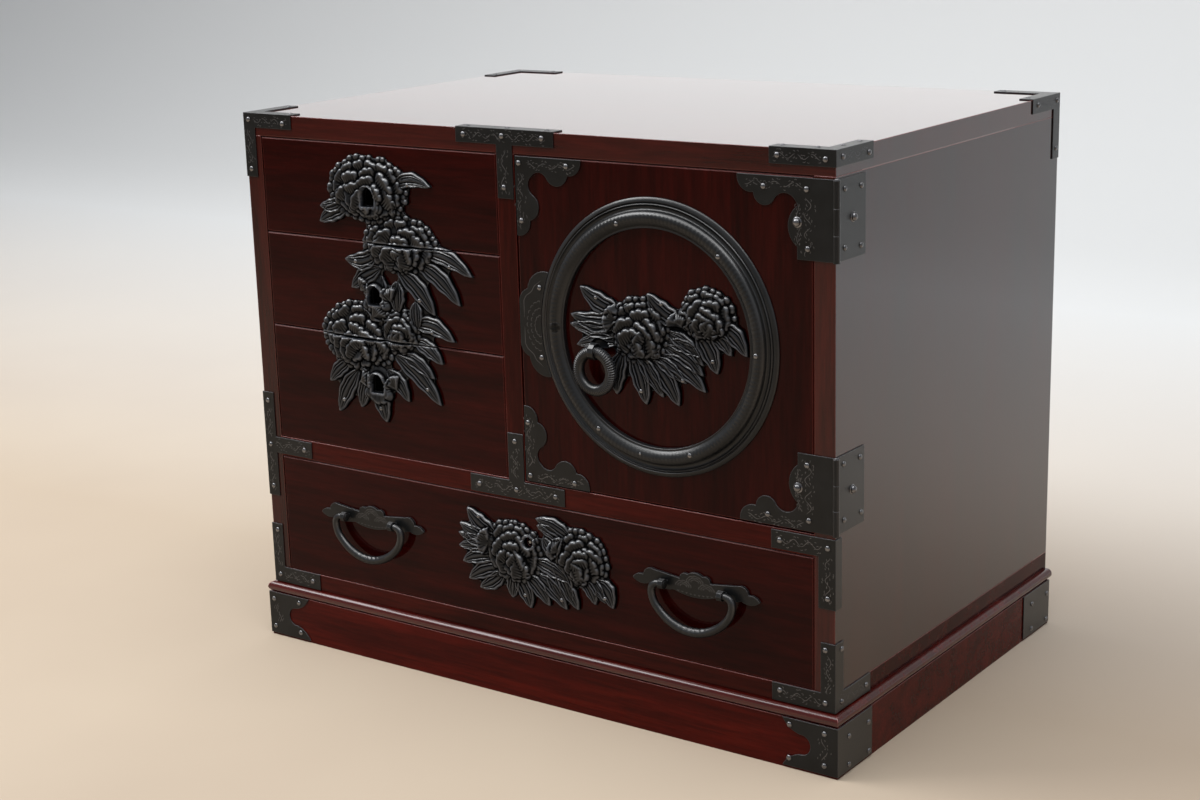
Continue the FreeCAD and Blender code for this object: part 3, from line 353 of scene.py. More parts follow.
def skin(rows, sides, closed=False, flip=False):
    """Faces over rows of sides points: closed on themselves, or with a cap at either end.

    Flip turns them inside out.
    """
    faces = []
    for k in range(rows if closed else rows - 1):
        a, b = k * sides, (k + 1) % rows * sides
        for i in range(sides):
            j = (i + 1) % sides
            faces.append((a + i, b + i, b + j, a + j) if flip else (a + i, a + j, b + j, b + i))
    if not closed:
        first, last = tuple(range(sides)), tuple(range((rows - 1) * sides, rows * sides))
        faces += [first, last[::-1]] if flip else [first[::-1], last]
    return faces


class Shells:
    """Closed shells gathered into one mesh."""

    def __init__(self):
        self.verts, self.faces = [], []

    def add(self, verts, faces):
        first = len(self.verts)
        self.verts.extend(tuple(v) for v in verts)
        self.faces.extend(tuple(first + i for i in face) for face in faces)
        return self

    def object(self, name):
        mesh = bpy.data.meshes.new(name)
        mesh.from_pydata(self.verts, [], self.faces)
        return linked(name, mesh)


def dress(obj, body, material, replaced, sharp):
    """Smooths an object up to its sharp edges and puts it on its body."""
    mesh = obj.data
    mesh.polygons.foreach_set("use_smooth", [True] * len(mesh.polygons))
    mesh.set_sharp_from_angle(angle=radians(sharp))
    mesh.materials.clear()
    mesh.materials.append(material)
    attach(obj, body)
    if replaced:
        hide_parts(*replaced)


def piece(name, shells, body, material, replaced=(), sharp=38.0):
    obj = shells.object(name)
    obj.data.validate()
    dress(obj, body, material, replaced, sharp)


def without_hole(obj, x, z, radius, sides=28):
    """The object with a round hole bored through it from the front."""
    circle = [(x + radius * cos(-a), z + radius * sin(-a)) for a in around(sides)]
    verts = [on_front(u, v, h) for h in (-1.0, 14.0) for u, v in circle]
    tool = Shells().add(verts, skin(2, sides)).object("tool")
    modifier = obj.modifiers.new("carve", "BOOLEAN")
    modifier.operation = "DIFFERENCE"
    modifier.solver = "MANIFOLD"
    modifier.object = tool
    graph = bpy.context.evaluated_depsgraph_get()
    mesh = bpy.data.meshes.new_from_object(obj.evaluated_get(graph))
    name = obj.name
    for used in (obj, tool):
        bpy.data.objects.remove(used)
    return linked(name, mesh)


# --- Cast flowers ---
MAX_HEIGHT = 10.9
CELL = 0.5
RIM = 1.2
FLOOR = 0.3
SUNK = 0.2
LEAF_LOW, LEAF_HIGH = 2.0, 3.2


def rim_height(inside):
    """How high the metal may stand at a distance inside its outline."""
    return RIM + 2.6 * np.sqrt(np.clip(inside, 0.0, 20.0))


class Relief:
    """A cast relief: heights over a grid on the front, and how far each point is inside it."""

    def __init__(self, x_low, x_high, z_low, z_high):
        self.x, self.z = np.meshgrid(np.arange(x_low, x_high, CELL),
                                     np.arange(z_low, z_high, CELL), indexing="ij")
        self.height = np.zeros_like(self.x)
        self.inside = np.full_like(self.x, -9.0)
        self.floor = np.zeros(self.x.shape, bool)

    def near(self, x, z, reach):
        """The window of the grid within reach of a point, and its places seen from there."""
        i = int((x - reach - self.x[0, 0]) / CELL)
        j = int((z - reach - self.z[0, 0]) / CELL)
        span = int(2 * reach / CELL) + 2
        window = slice(max(i, 0), max(i + span, 0)), slice(max(j, 0), max(j + span, 0))
        return window, self.x[window] - x, self.z[window] - z

    def put(self, window, height, inside):
        """Lays one piece over the relief: the higher metal shows."""
        before = self.height[window]
        self.height[window] = np.where(inside > 0, np.maximum(before, height), before)
        self.inside[window] = np.maximum(self.inside[window], inside)

    def fill(self, reach, height):
        """Thin metal in the gaps between pieces that lie close together."""
        straight, slanted = ((1, 0), (-1, 0), (0, 1), (0, -1)), ((1, 1), (1, -1), (-1, 1), (-1, -1))
        grown = self.inside > 0
        for grow in (True, False):
            for step in range(int(reach / CELL)):
                source = grown.copy()
                for move in straight if step % 2 else straight + slanted:
                    moved = np.roll(source, move, (0, 1))
                    grown = grown | moved if grow else grown & moved
        gap = grown & (self.inside <= 0)
        self.height[gap] = height
        self.inside[gap] = 0.4

    def object(self, name, inside):
        """A closed mesh of what is inside, with its outline drawn to where inside is 0."""
        ends = slice(None, -1), slice(1, None)
        corners = [(ends[i], ends[j]) for i, j in ((0, 0), (1, 0), (1, 1), (0, 1))]
        keep = inside > 0
        cells = np.any([keep[corner] for corner in corners], axis=0)
        used = np.zeros_like(keep)
        for corner in corners:
            used[corner] |= cells
        number = np.full(keep.shape, -1)
        number[used] = np.arange(used.sum())
        slope_x, slope_z = np.gradient(np.clip(inside, -2.0, 2.0), CELL)
        square = np.maximum(slope_x ** 2 + slope_z ** 2, 0.05)
        pull = np.where(keep, 0.0, np.clip(-inside, 0.0, 2.0)) / square
        most = 0.9 * CELL
        x = self.x + np.clip(slope_x * pull, -most, most)
        z = self.z + np.clip(slope_z * pull, -most, most)
        height = np.clip(np.minimum(self.height, rim_height(inside)), RIM, MAX_HEIGHT)
        height[self.floor] = FLOOR
        top = np.stack([x[used] * MM, FRONT_Y - height[used] * MM, z[used] * MM], axis=1)
        low = top.copy()
        low[:, 1] = FRONT_Y + SUNK * MM
        count = len(top)
        face = np.stack([number[corner][cells] for corner in corners], axis=1)
        faces = [face, face[:, ::-1] + count]
        for first, second, axis, step in ((0, 1, 1, -1), (2, 3, 1, 1), (3, 0, 0, -1), (1, 2, 0, 1)):
            beyond = np.roll(np.pad(cells, 1), -step, axis)[1:-1, 1:-1]
            a, b = face[~beyond[cells]][:, (first, second)].T
            faces.append(np.stack([b, a, a + count, b + count], axis=1))
        shells = Shells()
        shells.verts = np.concatenate([top, low]).tolist()
        shells.faces = np.concatenate(faces).tolist()
        obj = shells.object(name)
        # The crest share is lighter on crests, as rubbed metal and painted highlight, and darker in
        # hollows, as painted shade.
        mean = height.copy()
        for _ in range(10):
            for axis in (0, 1):
                mean = (2 * mean + np.roll(mean, 1, axis) + np.roll(mean, -1, axis)) / 4
        crest = unit(0.45 + (height - mean) / 1.5)
        # Pull-hole floors take the darkest share, as painted shade.
        crest[self.floor] = 0.0
        share = obj.data.attributes.new("crest", "FLOAT", "POINT")
        share.data.foreach_set("value", np.tile(crest[used], 2))
        return obj


def petal(relief, tip, way, length, width, low, high, lobes):
    """A petal that ends at its tip in rounded lobes; the metal is highest near the tip."""
    window, dx, dz = relief.near(*tip, length + width / 2)
    along = dx * cos(way) + dz * sin(way)
    across = dz * cos(way) - dx * sin(way)
    radius = width / (2 * lobes) * (1.0, 1.0, 1.22, 1.42)[lobes]
    inside = np.full_like(dx, -9.0)
    for k in range(lobes):
        place = (k - (lobes - 1) / 2) * (width - 2 * radius) / max(1, lobes - 1)
        back = radius + 0.9 * radius * (2 * place / width) ** 2
        inside = np.maximum(inside, radius - np.hypot(across - place, along + back))
    body = 1.0 - np.hypot(across / (0.44 * width), (along + 0.55 * length) / (0.46 * length))
    inside = np.maximum(inside, body * 0.44 * width)
    plump = min(radius * 0.8, 2.8)
    swell = np.sqrt(unit(1.0 - (1.0 - unit(inside / plump)) ** 2))
    lean = 0.36 + 0.64 * unit(1.0 + (along + 0.4 * radius) / length) ** 0.9
    lean = lean * (1.0 - 0.22 * np.clip(2 * across / width, -1.0, 1.0) ** 2)
    height = low + (high - low) * swell * lean
    if lobes > 1:
        folds = 0.5 + 0.5 * np.cos(across * 2.4)
        height -= 1.1 * folds * np.clip(-along / length - 0.30, 0.0, 0.6)
    relief.put(window, height, inside)


def mound(relief, x, z, half_width, half_height, height):
    """Plain rounded metal that carries what lies on it."""
    window, dx, dz = relief.near(x, z, max(half_width, half_height) + 1)
    r = np.hypot(dx / half_width, dz / half_height)
    inside = (1.0 - r) * min(half_width, half_height)
    relief.put(window, height * unit(1.0 - r ** 2) ** 0.35, inside)


def leaf(relief, x0, z0, x1, z1, width, bend):
    """A pointed blade: a groove and a fine rib down the middle, lines that follow its edges."""
    dx, dz = x1 - x0, z1 - z0
    reach = hypot(dx, dz)
    window = relief.near((x0 + x1) / 2, (z0 + z1) / 2, reach / 2 + width / 2 + abs(bend))[0]
    x, z = relief.x[window] - x0, relief.z[window] - z0
    s = (x * dx + z * dz) / reach ** 2
    inner = unit(s)
    across = (z * dx - x * dz) / reach - bend * np.sin(pi * inner)
    half = width / 2 * np.sin(pi * inner ** 0.85) ** 0.72 + 0.01
    half *= 1.0 + 0.05 * np.cos(pi * 7 * inner)
    t = across / half
    inside = np.minimum((1.0 - np.abs(t)) * half, (1.0 - s) * reach)
    inside = np.where((s < 0.0) | (s > 1.0), -2.0, inside)
    side = unit(np.abs(t))
    swell = np.sin(pi * inner) ** 0.5
    height = LEAF_LOW + (LEAF_HIGH - LEAF_LOW) * inner + 1.9 * swell * np.sin(pi * side ** 0.9) ** 0.8
    height += 1.2 * bump_line(t, 0.0, 0.09) * swell + 1.2 * bump_line(side, 0.84, 0.08)
    for line in (0.26, 0.52):
        height -= 1.3 * bump_line(side, line + 0.08 * inner, 0.085) * swell
    height -= 1.2 * unit(1.0 - inside / 0.8) ** 2
    relief.put(window, height, inside)


def fan(relief, x, z, radius, way, sweep, low, high, ribs):
    """A ribbed shell, as where a petal folds over the edge of the bloom."""
    window, dx, dz = relief.near(x, z, radius)
    s = np.hypot(dx, dz) / radius
    t = ((np.arctan2(dz, dx) - way + pi) % (2 * pi) - pi) / (sweep / 2)
    wave = np.abs(np.cos(ribs * pi * t / 2))
    inside = np.minimum((0.93 + 0.05 * wave - s) * radius,
                        (1.0 - np.abs(t)) * radius * s * sweep / 2 + 0.3 * s)
    height = low + (high - low) * np.sin(unit(s) * pi / 2) + 0.5 * wave * unit(s)
    height -= 1.4 * unit(1.0 - inside / 1.2) ** 2
    relief.put(window, height, inside)


# Rings of petals, outermost first: place, width, length, low and high shares of the height of
# the bloom, lobes, and how far the petals turn upward.
PETAL_RINGS = ((0.98, 7.5, 8.5, 0.08, 0.38, 1, 0.1), (0.86, 15.0, 13.0, 0.12, 0.56, 2, 0.2),
               (0.65, 23.0, 16.0, 0.16, 0.80, 3, 0.6), (0.38, 22.0, 15.0, 0.26, 0.95, 3, 1.0),
               (0.10, 17.0, 12.0, 0.45, 1.0, 2, 1.6))


def bloom(relief, top, x, z, half_width, half_height, turn, room=0.0):
    """A full peony: petals all round its edge, and ruffled petals heaped inside.

    Room is a share of the middle that is left to a hole.
    """
    reach = (half_width + half_height) / 2
    window, dx, dz = relief.near(x, z, max(half_width, half_height) + 2)
    r = np.hypot(dx / half_width, dz / half_height)
    relief.put(window, 1.8 + 0.30 * top * unit(1 - (r / 0.9) ** 2), (0.84 - r) * reach)
    for place, width, length, low, high, lobes, upward in PETAL_RINGS:
        if place < room:
            continue
        count = max(2, round(2 * pi * place * reach / (width * 0.92)))
        for k in range(count):
            angle = turn + place * 7 + 2 * pi * (k + 0.22 * draw(-1, 1)) / count
            out = place * draw(0.96, 1.03)
            tip = x + half_width * out * cos(angle), z + half_height * out * sin(angle)
            way = atan2(sin(angle) + upward, cos(angle))
            drop = 0.03 * draw(-1, 1)
            petal(relief, tip, way + 0.35 * draw(-1, 1), length * draw(0.88, 1.12),
                  width * draw(0.80, 1.15), top * (low + drop), top * (high + drop), lobes)


# Leaves: x and z of the foot and of the tip, width, bend.
# Blooms: x, z, half width, half height, turn, and the room for a hole.
# Fans: x, z, radius, way, sweep, low, high, ribs.
DOOR_LEAVES = (
    (108, 352, 67, 371, 18, 3), (110, 350, 57, 347, 19, 6), (106, 336, 56, 339, 15, 1),
    (104, 328, 62, 322, 14, -3), (166, 350, 132, 371, 18, 4), (150, 342, 184, 318, 14, 4),
    (196, 352, 224, 330, 17, 5), (190, 346, 210, 329, 14, 3), (178, 345, 197, 313, 19, 3),
    (148, 330, 184, 310, 15, 4), (142, 322, 186, 297, 17, 5), (138, 320, 168, 302, 13, 2),
    (132, 318, 161, 283, 19, 4), (122, 320, 146, 288, 15, 2), (116, 320, 130, 280, 18, 2),
    (108, 322, 101, 285, 18, -3), (150, 334, 186, 326, 12, 2),
)
DOOR_BLOOMS = ((188, 359, 27, 23, 0.5), (124, 340, 30, 29, 0.1))
DOOR_FANS = ((104, 346, 14, 2.7, 2.4, 5.0, 7.5, 8), (166, 346, 15, 1.8, 2.4, 5.0, 8.0, 10))
WIDE_LEAVES = (
    (-30, 144, -61, 164, 18, 3), (-30, 142, -70, 149, 15, 4), (-32, 136, -72, 140, 12, 2),
    (-32, 130, -72, 128, 14, -2), (-32, 124, -68, 114, 16, -3), (-24, 116, -62, 99, 17, -3),
    (-22, 112, -50, 93, 15, 2), (-12, 112, -14, 90, 15, 0), (-10, 112, 6, 84, 18, 3),
    (0, 114, 26, 90, 16, 3), (10, 116, 44, 90, 17, 4), (34, 116, 56, 92, 15, 3),
    (30, 134, 50, 96, 16, 3), (72, 122, 92, 100, 18, 5), (60, 120, 74, 100, 14, 3),
    (66, 124, 84, 103, 12, 2), (52, 152, 13, 166, 15, -3), (40, 150, 14, 160, 12, -2),
    (10, 128, 48, 116, 15, 2), (20, 150, 34, 128, 14, 2), (26, 122, 38, 100, 14, 0),
)
WIDE_BLOOMS = ((59, 138, 30, 27, 0.6), (-12, 131, 33, 31, 0.2))
WIDE_FANS = ((-36, 136, 14, 2.9, 2.4, 4.5, 7.0, 8), (40, 140, 14, 2.6, 2.4, 5.0, 7.5, 8))
CASCADE_LEAVES = (
    (-128, 438, -85, 440, 14, 6), (-180, 416, -213, 402, 17, -2), (-184, 422, -212, 416, 13, 2),
    (-146, 380, -186, 371, 18, 5), (-146, 366, -180, 346, 18, -2), (-96, 384, -44, 367, 16, 5),
    (-104, 374, -58, 341, 18, 5), (-126, 366, -86, 330, 19, 4), (-112, 320, -66, 309, 17, 6),
    (-112, 306, -80, 288, 16, 3), (-134, 290, -84, 251, 19, 5), (-126, 292, -90, 274, 14, 3),
    (-178, 272, -203, 231, 18, -2), (-186, 280, -212, 258, 15, -2), (-160, 262, -147, 228, 19, 2),
    (-144, 276, -120, 250, 16, 3), (-168, 268, -176, 238, 16, 0), (-146, 360, -148, 330, 18, 0),
    (-128, 356, -128, 328, 18, 0), (-108, 340, -106, 316, 15, 0),
)
CASCADE_BLOOMS = (
    (-156, 434, 47, 31, 0.0, 0.2), (-122, 388, 44, 27, 0.4, 0.0), (-174, 303, 45, 34, 0.2, 0.0),
    (-126, 314, 24, 20, 0.7, 0.0),
)
CASCADE_FANS = (
    (-158, 318, 24, 0.9, 1.5, 5.0, 8.5, 12), (-170, 344, 13, 0.6, 1.8, 4.0, 6.5, 7),
    (-134, 336, 15, 1.9, 1.5, 4.0, 7.0, 7), (-176, 262, 15, 0.5, 1.6, 4.5, 7.0, 7),
    (-132, 258, 15, 2.2, 1.6, 4.5, 7.0, 7),
)
PULL_HOLES = {"upper": (-153.25, 427.5), "middle": (-151.25, 341.5), "lower": (-154.25, 262.5)}
HOLE_WIDTH, HOLE_HEIGHT = 14.0, 17.0
HOOD_HEIGHT = 9.0
KEY_PLACE = (6.0, 143.5)
KEY_COLLAR = 6.5
RING_ROOM = 9.5

SPRAY_NAILS = {
    "door": [(83, 363), (146, 364), (193, 323), (125, 291), (167, 301)],
    "wide_drawer": [(-48, 158), (0, 95), (39, 98), (84, 108)],
    "upper_drawer": [(-109, 440)],
    "middle_drawer": [(-173, 370), (-68, 370), (-102, 342), (-90, 314)],
    "lower_drawer": [(-98, 264), (-196, 243), (-153, 240)],
}
NAIL_SEATS = {}


def spray(corners, leaves, blooms, fans, top):
    """The leaves, blooms and fans of one spray, from the lowest metal up."""
    relief = Relief(*corners)
    for values in leaves:
        leaf(relief, *values)
    for values in blooms:
        bloom(relief, top, *values)
    for values in fans:
        fan(relief, *values)
    return relief


def cast(relief, name, body, node_name, inside):
    """Seats the nails of a spray on the metal nearest to their places and makes its piece."""
    NAIL_SEATS[body] = []
    for u, v in SPRAY_NAILS[body]:
        away = np.hypot(relief.x - u, relief.z - v)
        sound = (relief.inside > 2.4) & ~relief.floor
        i, j = np.unravel_index(np.argmin(np.where(sound, away, 999.0)), away.shape)
        x, z = relief.x[i, j], relief.z[i, j]
        near = np.hypot(relief.x - x, relief.z - z) < 1.7
        metal = np.minimum(relief.height[near], rim_height(relief.inside[near]))
        NAIL_SEATS[body].append((x, z, float(metal.min()), float(np.median(metal))))
    obj = relief.object(name, inside)
    dress(obj, body, flower_iron, (node_name,), 70)


def arch_distance(relief, x, z):
    """How far each point lies outside an arched pull hole."""
    half = HOLE_WIDTH / 2
    spring = z + HOLE_HEIGHT / 2 - half
    over = np.hypot(relief.x - x, relief.z - spring) - half
    straight = np.maximum(np.abs(relief.x - x) - half, z - HOLE_HEIGHT / 2 - relief.z)
    return np.where(relief.z > spring, over, straight)


def cascade():
    relief = spray((-222.0, -38.0, 220.0, 470.0), CASCADE_LEAVES, CASCADE_BLOOMS, CASCADE_FANS, 10.0)
    for x, z in PULL_HOLES.values():
        mound(relief, x, z, 15.0, 17.0, 5.0)
        for k in range(5):
            way = pi * (1.25 + 0.5 * k / 4)
            petal(relief, (x + 20 * cos(way), z + 19 * sin(way)), way, 14.0, 12.0, 3.0, 6.6, 1)
    relief.fill(3.0, 2.0)
    for name, (x, z) in PULL_HOLES.items():
        low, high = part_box(name + "_drawer_front")
        beyond = arch_distance(relief, x, z)
        hood = bump_line(beyond, 1.4, 1.1) * unit((relief.z - z + 6) / 10)
        relief.height = np.maximum(relief.height, HOOD_HEIGHT * hood)
        band = np.minimum(relief.z - low.z / MM, high.z / MM - relief.z)
        # Inside each pull hole the metal sinks to a thin floor sheet, painted at its darkest as the
        # shade of the hollow.
        relief.floor |= beyond < 0
        cast(relief, name + "_peony_relief", name + "_drawer", name + "_drawer_peony",
             np.minimum(relief.inside, 6 * band))


def door_spray():
    relief = spray((48.0, 234.0, 270.0, 392.0), DOOR_LEAVES, DOOR_BLOOMS, DOOR_FANS, 10.4)
    relief.fill(3.0, 1.8)
    x, z, _ = middle("pull_ring_eye")
    room = np.hypot(relief.x - x, relief.z - z) < RING_ROOM
    relief.height = np.where(room, np.minimum(relief.height, 2.2), relief.height)
    cast(relief, "door_peony_relief", "door", "door_peony", relief.inside)


def wide_spray():
    relief = spray((-80.0, 100.0, 76.0, 176.0), WIDE_LEAVES, WIDE_BLOOMS, WIDE_FANS, 9.4)
    relief.fill(3.0, 1.8)
    away = np.hypot(relief.x - KEY_PLACE[0], relief.z - KEY_PLACE[1])
    collar = np.maximum(5.5, np.minimum(relief.height, 7.0))
    relief.height = np.where(away < KEY_COLLAR + 0.6, collar, relief.height)
    cast(relief, "wide_peony_relief", "wide_drawer", "wide_drawer_peony",
         np.minimum(relief.inside, 6 * (away - KEY_COLLAR + 2)))


# --- Round door plate, ring pull and bails ---
# Radius and height of the round plate, from the outer edge to the inner one.
RING_PROFILE = (
    (112.5, 0.0), (112.5, 1.1), (112.1, 1.5), (109.4, 2.9), (108.9, 2.8), (108.6, 1.4),
    (107.9, 1.3), (107.6, 2.9), (107.1, 3.3), (106.6, 2.9), (106.3, 2.0), (104.4, 1.6),
    (102.5, 2.0), (102.2, 3.0), (101.9, 4.9), (100.9, 6.5), (99.2, 7.6), (97.0, 8.0), (94.6, 7.6),
    (92.5, 6.5), (90.9, 5.2), (90.0, 4.3), (89.6, 4.4), (89.2, 4.7), (88.8, 4.6), (88.5, 4.0),
    (88.5, 0.0),
)
GADROONS, STEPS_OF_ONE = 168, 6
BEAD_RADIUS, BEAD_WIDTH = 97.6, 3.4
RING_KEY_OUT, RING_KEY_RADIUS = 95.0, 4.5


def door_ring():
    """The round plate: its turned profile, with a gadrooned bead."""
    x0, z0, _ = middle("door_ring")
    steps = GADROONS * STEPS_OF_ONE
    verts = []
    for angle in around(steps):
        for r, h in RING_PROFILE:
            wave = abs(sin(GADROONS * (angle + 0.012 * (r - 97)) / 2))
            share = exp(-((r - BEAD_RADIUS) / BEAD_WIDTH) ** 2)
            rise = h + share * 0.75 * (wave - 0.6) if h > 0 else -0.1
            verts.append(on_front(x0 + r * cos(angle), z0 + r * sin(angle), min(rise, 8.2)))
    shells = Shells().add(verts, skin(steps, len(RING_PROFILE), closed=True))
    obj = without_hole(shells.object("door_ring_gadrooned"), x0 - RING_KEY_OUT, z0, RING_KEY_RADIUS)
    dress(obj, "door", cast_iron, ("door_ring",), 70)


def swept(name, node_name, centres, radii, carving, closed=False, sides=20):
    """A bar along points (x, z, height), with a radius and a surface pattern at each."""
    centres = [Vector(on_front(*point)) for point in centres]
    count = len(centres)
    up = Vector((0, -1, 0))
    verts = []
    for k, centre in enumerate(centres):
        ahead = centres[(k + 1) % count if closed else min(k + 1, count - 1)]
        behind = centres[k - 1 if closed else max(k - 1, 0)]
        across = (ahead - behind).normalized().cross(up).normalized()
        for angle in around(sides):
            radius = radii[k] * MM * carving(k / count, angle)
            verts.append(centre + across * (radius * cos(angle)) + up * (radius * sin(angle)))
    shells = Shells().add(verts, skin(count, sides, closed, flip=True))
    piece(name, shells, node_name, cast_iron, (node_name,))


RING_BORE, RING_BAR = 11.3, 4.95
RING_STEPS, RING_SIDES, BEADS = 420, 28, 60


def pull_ring():
    """The cast ring: smooth inside, slanted beads outside, with a groove between."""
    low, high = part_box("pull_ring")
    x, z, height = middle("pull_ring")
    radius = ((high.x - low.x) / 2 / MM + RING_BORE) / 2

    def carving(share, angle):
        outer = min(1.0, max(0.0, 0.45 + 1.5 * cos(angle)))
        bead = abs(sin(BEADS * pi * share + angle)) ** 0.8
        groove = exp(-((angle - 1.75) / 0.2) ** 2)
        return 0.97 - 0.19 * outer * (1 - bead) - 0.08 * groove

    centres = [(x + radius * cos(a), z + radius * sin(a), height) for a in around(RING_STEPS)]
    swept("pull_ring_rope", "pull_ring", centres, [RING_BAR] * RING_STEPS, carving, True, RING_SIDES)


HANDLE_X, HANDLE_Z = 172.5, middle("handle_posts")[1]
BAIL_HALF_WIDTH, BAIL_DROP, BAIL_CORNER, BAIL_SHOULDER, BAIL_HEIGHT = 38.5, 36.0, 20.0, 7.0, 8.1
BAIL_STUB = 25.4


def bail(side, x):
    """A basket-arch bar, thicker and carved at the bottom, with wrapped collars at its ends."""
    turn_x, corner_x = BAIL_HALF_WIDTH - BAIL_SHOULDER, BAIL_HALF_WIDTH - BAIL_CORNER
    deep = BAIL_DROP - BAIL_SHOULDER
    floor_radius = (corner_x ** 2 + deep ** 2 - BAIL_CORNER ** 2) / (2 * (deep - BAIL_CORNER))
    turned = atan2(corner_x, floor_radius - deep) - pi / 2
    half = [(BAIL_STUB, 0.0), (turn_x, 0.0)]
    half += arc(turn_x, -BAIL_SHOULDER, BAIL_SHOULDER, pi / 2, 0, 8)
    half += arc(corner_x, -BAIL_SHOULDER, BAIL_CORNER, 0, turned, 16)
    half += arc(0, floor_radius - BAIL_DROP, floor_radius, turned, -pi / 2, 20)
    half = resample(half, 70)
    line = half + [(-u, v) for u, v in half[-2::-1]]
    radii = []
    for k in range(len(line)):
        share = abs(2 * k / (len(line) - 1) - 1)
        thinner = min(1.0, max(0.0, (share - 0.8) / 0.12))
        thick = 3.25 + 0.7 * exp(-(share / 0.42) ** 2) - 0.55 * thinner
        if share > 0.95:
            thick = 2.3 + 0.4 * cos((share - 0.95) * 500)
        radii.append(min(thick, 3.95))

    def carving(share, angle):
        middle_part = exp(-((share - 0.5) / 0.11) ** 4)
        lobes = abs(cos(pi * share * 26 + 0.9 * sin(angle)))
        seam = bump_line(cos(angle), 0.55, 0.22)
        return 1.0 - middle_part * (0.20 * (1 - lobes ** 0.6) * (0.5 + 0.5 * cos(angle)) + 0.10 * seam)

    centres = [(x + u, HANDLE_Z + v, BAIL_HEIGHT) for u, v in line]
    swept("bail_bar_" + side, "bail_" + side, centres, radii, carving)


# --- Nails and hinge pins ---
PLATE, LOCK_PLATE, PLINTH_PLATE, RING_TOP = 1.0, 1.6, 6.0, 7.6
NAIL_RADIUS, NAIL_RISE = 2.4, 1.5
TOP_NAIL_RADIUS, TOP_NAIL_RISE = 2.2, 0.9
SPRAY_NAIL_RADIUS = 1.9
RING_NAILS_OUT = 95.5
STUD_FROM_END, STUD_SIDES = 4.2, 28
STUD_DOMES = ((PLATE, 4.1, 0.9, 3), (1.6, 3.2, 2.7, 8))
HINGE_STUDS = (("hinge_door_studs", "door", "front", 0), ("hinge_side_studs", "case", "right", 1))
FRONT_NAILS = (
    (-48.5, 486.5), (-8.5, 487), (32, 487), (-8, 445), (-294, 487), (-253, 485), (-294, 443),
    (250, 486.5), (291, 485.5), (-294, 229), (-294, 187), (-252, 187), (-294, 147), (-47, 187),
    (-7, 187.5), (34, 187.5), (-7, 230), (250.5, 187), (293, 187.5), (293, 146.5), (-293, 104),
    (-293, 60), (-252, 60), (250, 62), (291, 60), (291, 104),
)
PLINTH_NAILS = (
    (261.5, 37.5), (293, 36.5), (261, 9), (293, 9.5), (-299, 36), (-267, 37.5), (-299, 9),
    (-267, 8),
)
SIDE_NAILS = (
    (-182.5, 487), (-142.5, 485), (-182.5, 104), (-182.5, 60), (-142.5, 60), (163.5, 487),
    (203.5, 487), (203.5, 445),
)
RIGHT_NAILS = (
    (-179.5, 463), (-154.5, 462), (-179.5, 419), (-154.5, 417), (-180.5, 253), (-154.5, 252),
    (-179.5, 208), (-152.5, 207),
)
LEFT_NAILS = ((-186, 229), (-186, 147), (-186, 443))
PLINTH_SIDE_NAILS = (
    (-179.5, 31), (-147.5, 31), (-179.5, 7), (-146.5, 6), (167, 31), (200, 31), (167, 7), (200, 6),
)
TOP_NAILS = (
    (250, -184), (280, -184), (292, -167.5), (292, -142.5), (-250, -184), (-292, -142.5),
    (-48.5, -186), (-7, -186), (33, -186), (250, 203), (292, 160), (-250, 203), (-292, 160),
)
DOOR_NAILS = (
    (8, 248.5), (8.5, 202.5), (54.5, 202.5), (8, 466), (55.5, 466), (9, 419), (275, 251),
    (240, 206.5), (276.5, 207), (275, 462.5), (238, 462.5), (276, 418),
)
LOCK_NAILS = ((25.5, 365), (25.5, 306.5))
# The angle and radius of each nail in the round plate.
RING_NAILS = ((109, 2.1), (49, 2.1), (-1, 2.1), (-69, 2.1), (-98, 1.2), (-124, 2.1))


def dome(shells, face, u, v, base, radius, rise, rings=5, sides=16):
    """A domed nail head whose shaft goes down into its plate."""
    lifts = [pi / 2 * k / rings for k in range(rings)]
    rows = [(radius * 0.9, base - 0.4)]
    rows += [(radius * cos(lift), base + rise * sin(lift)) for lift in lifts]
    verts = [PLACES[face](u + r * cos(a), v + r * sin(a), h) for r, h in rows for a in around(sides)]
    verts.append(PLACES[face](u, v, base + rise))
    flip = face in MIRRORED
    faces = skin(rings + 1, sides, flip=flip)[:-1]
    top, apex = rings * sides, (rings + 1) * sides
    for i in range(sides):
        a, b = top + i, top + (i + 1) % sides
        faces.append((b, a, apex) if flip else (a, b, apex))
    shells.add(verts, faces)


def nail_heads(shells, face, places, base, radius=NAIL_RADIUS, rise=NAIL_RISE):
    for u, v in places:
        dome(shells, face, u, v, base, radius, rise)


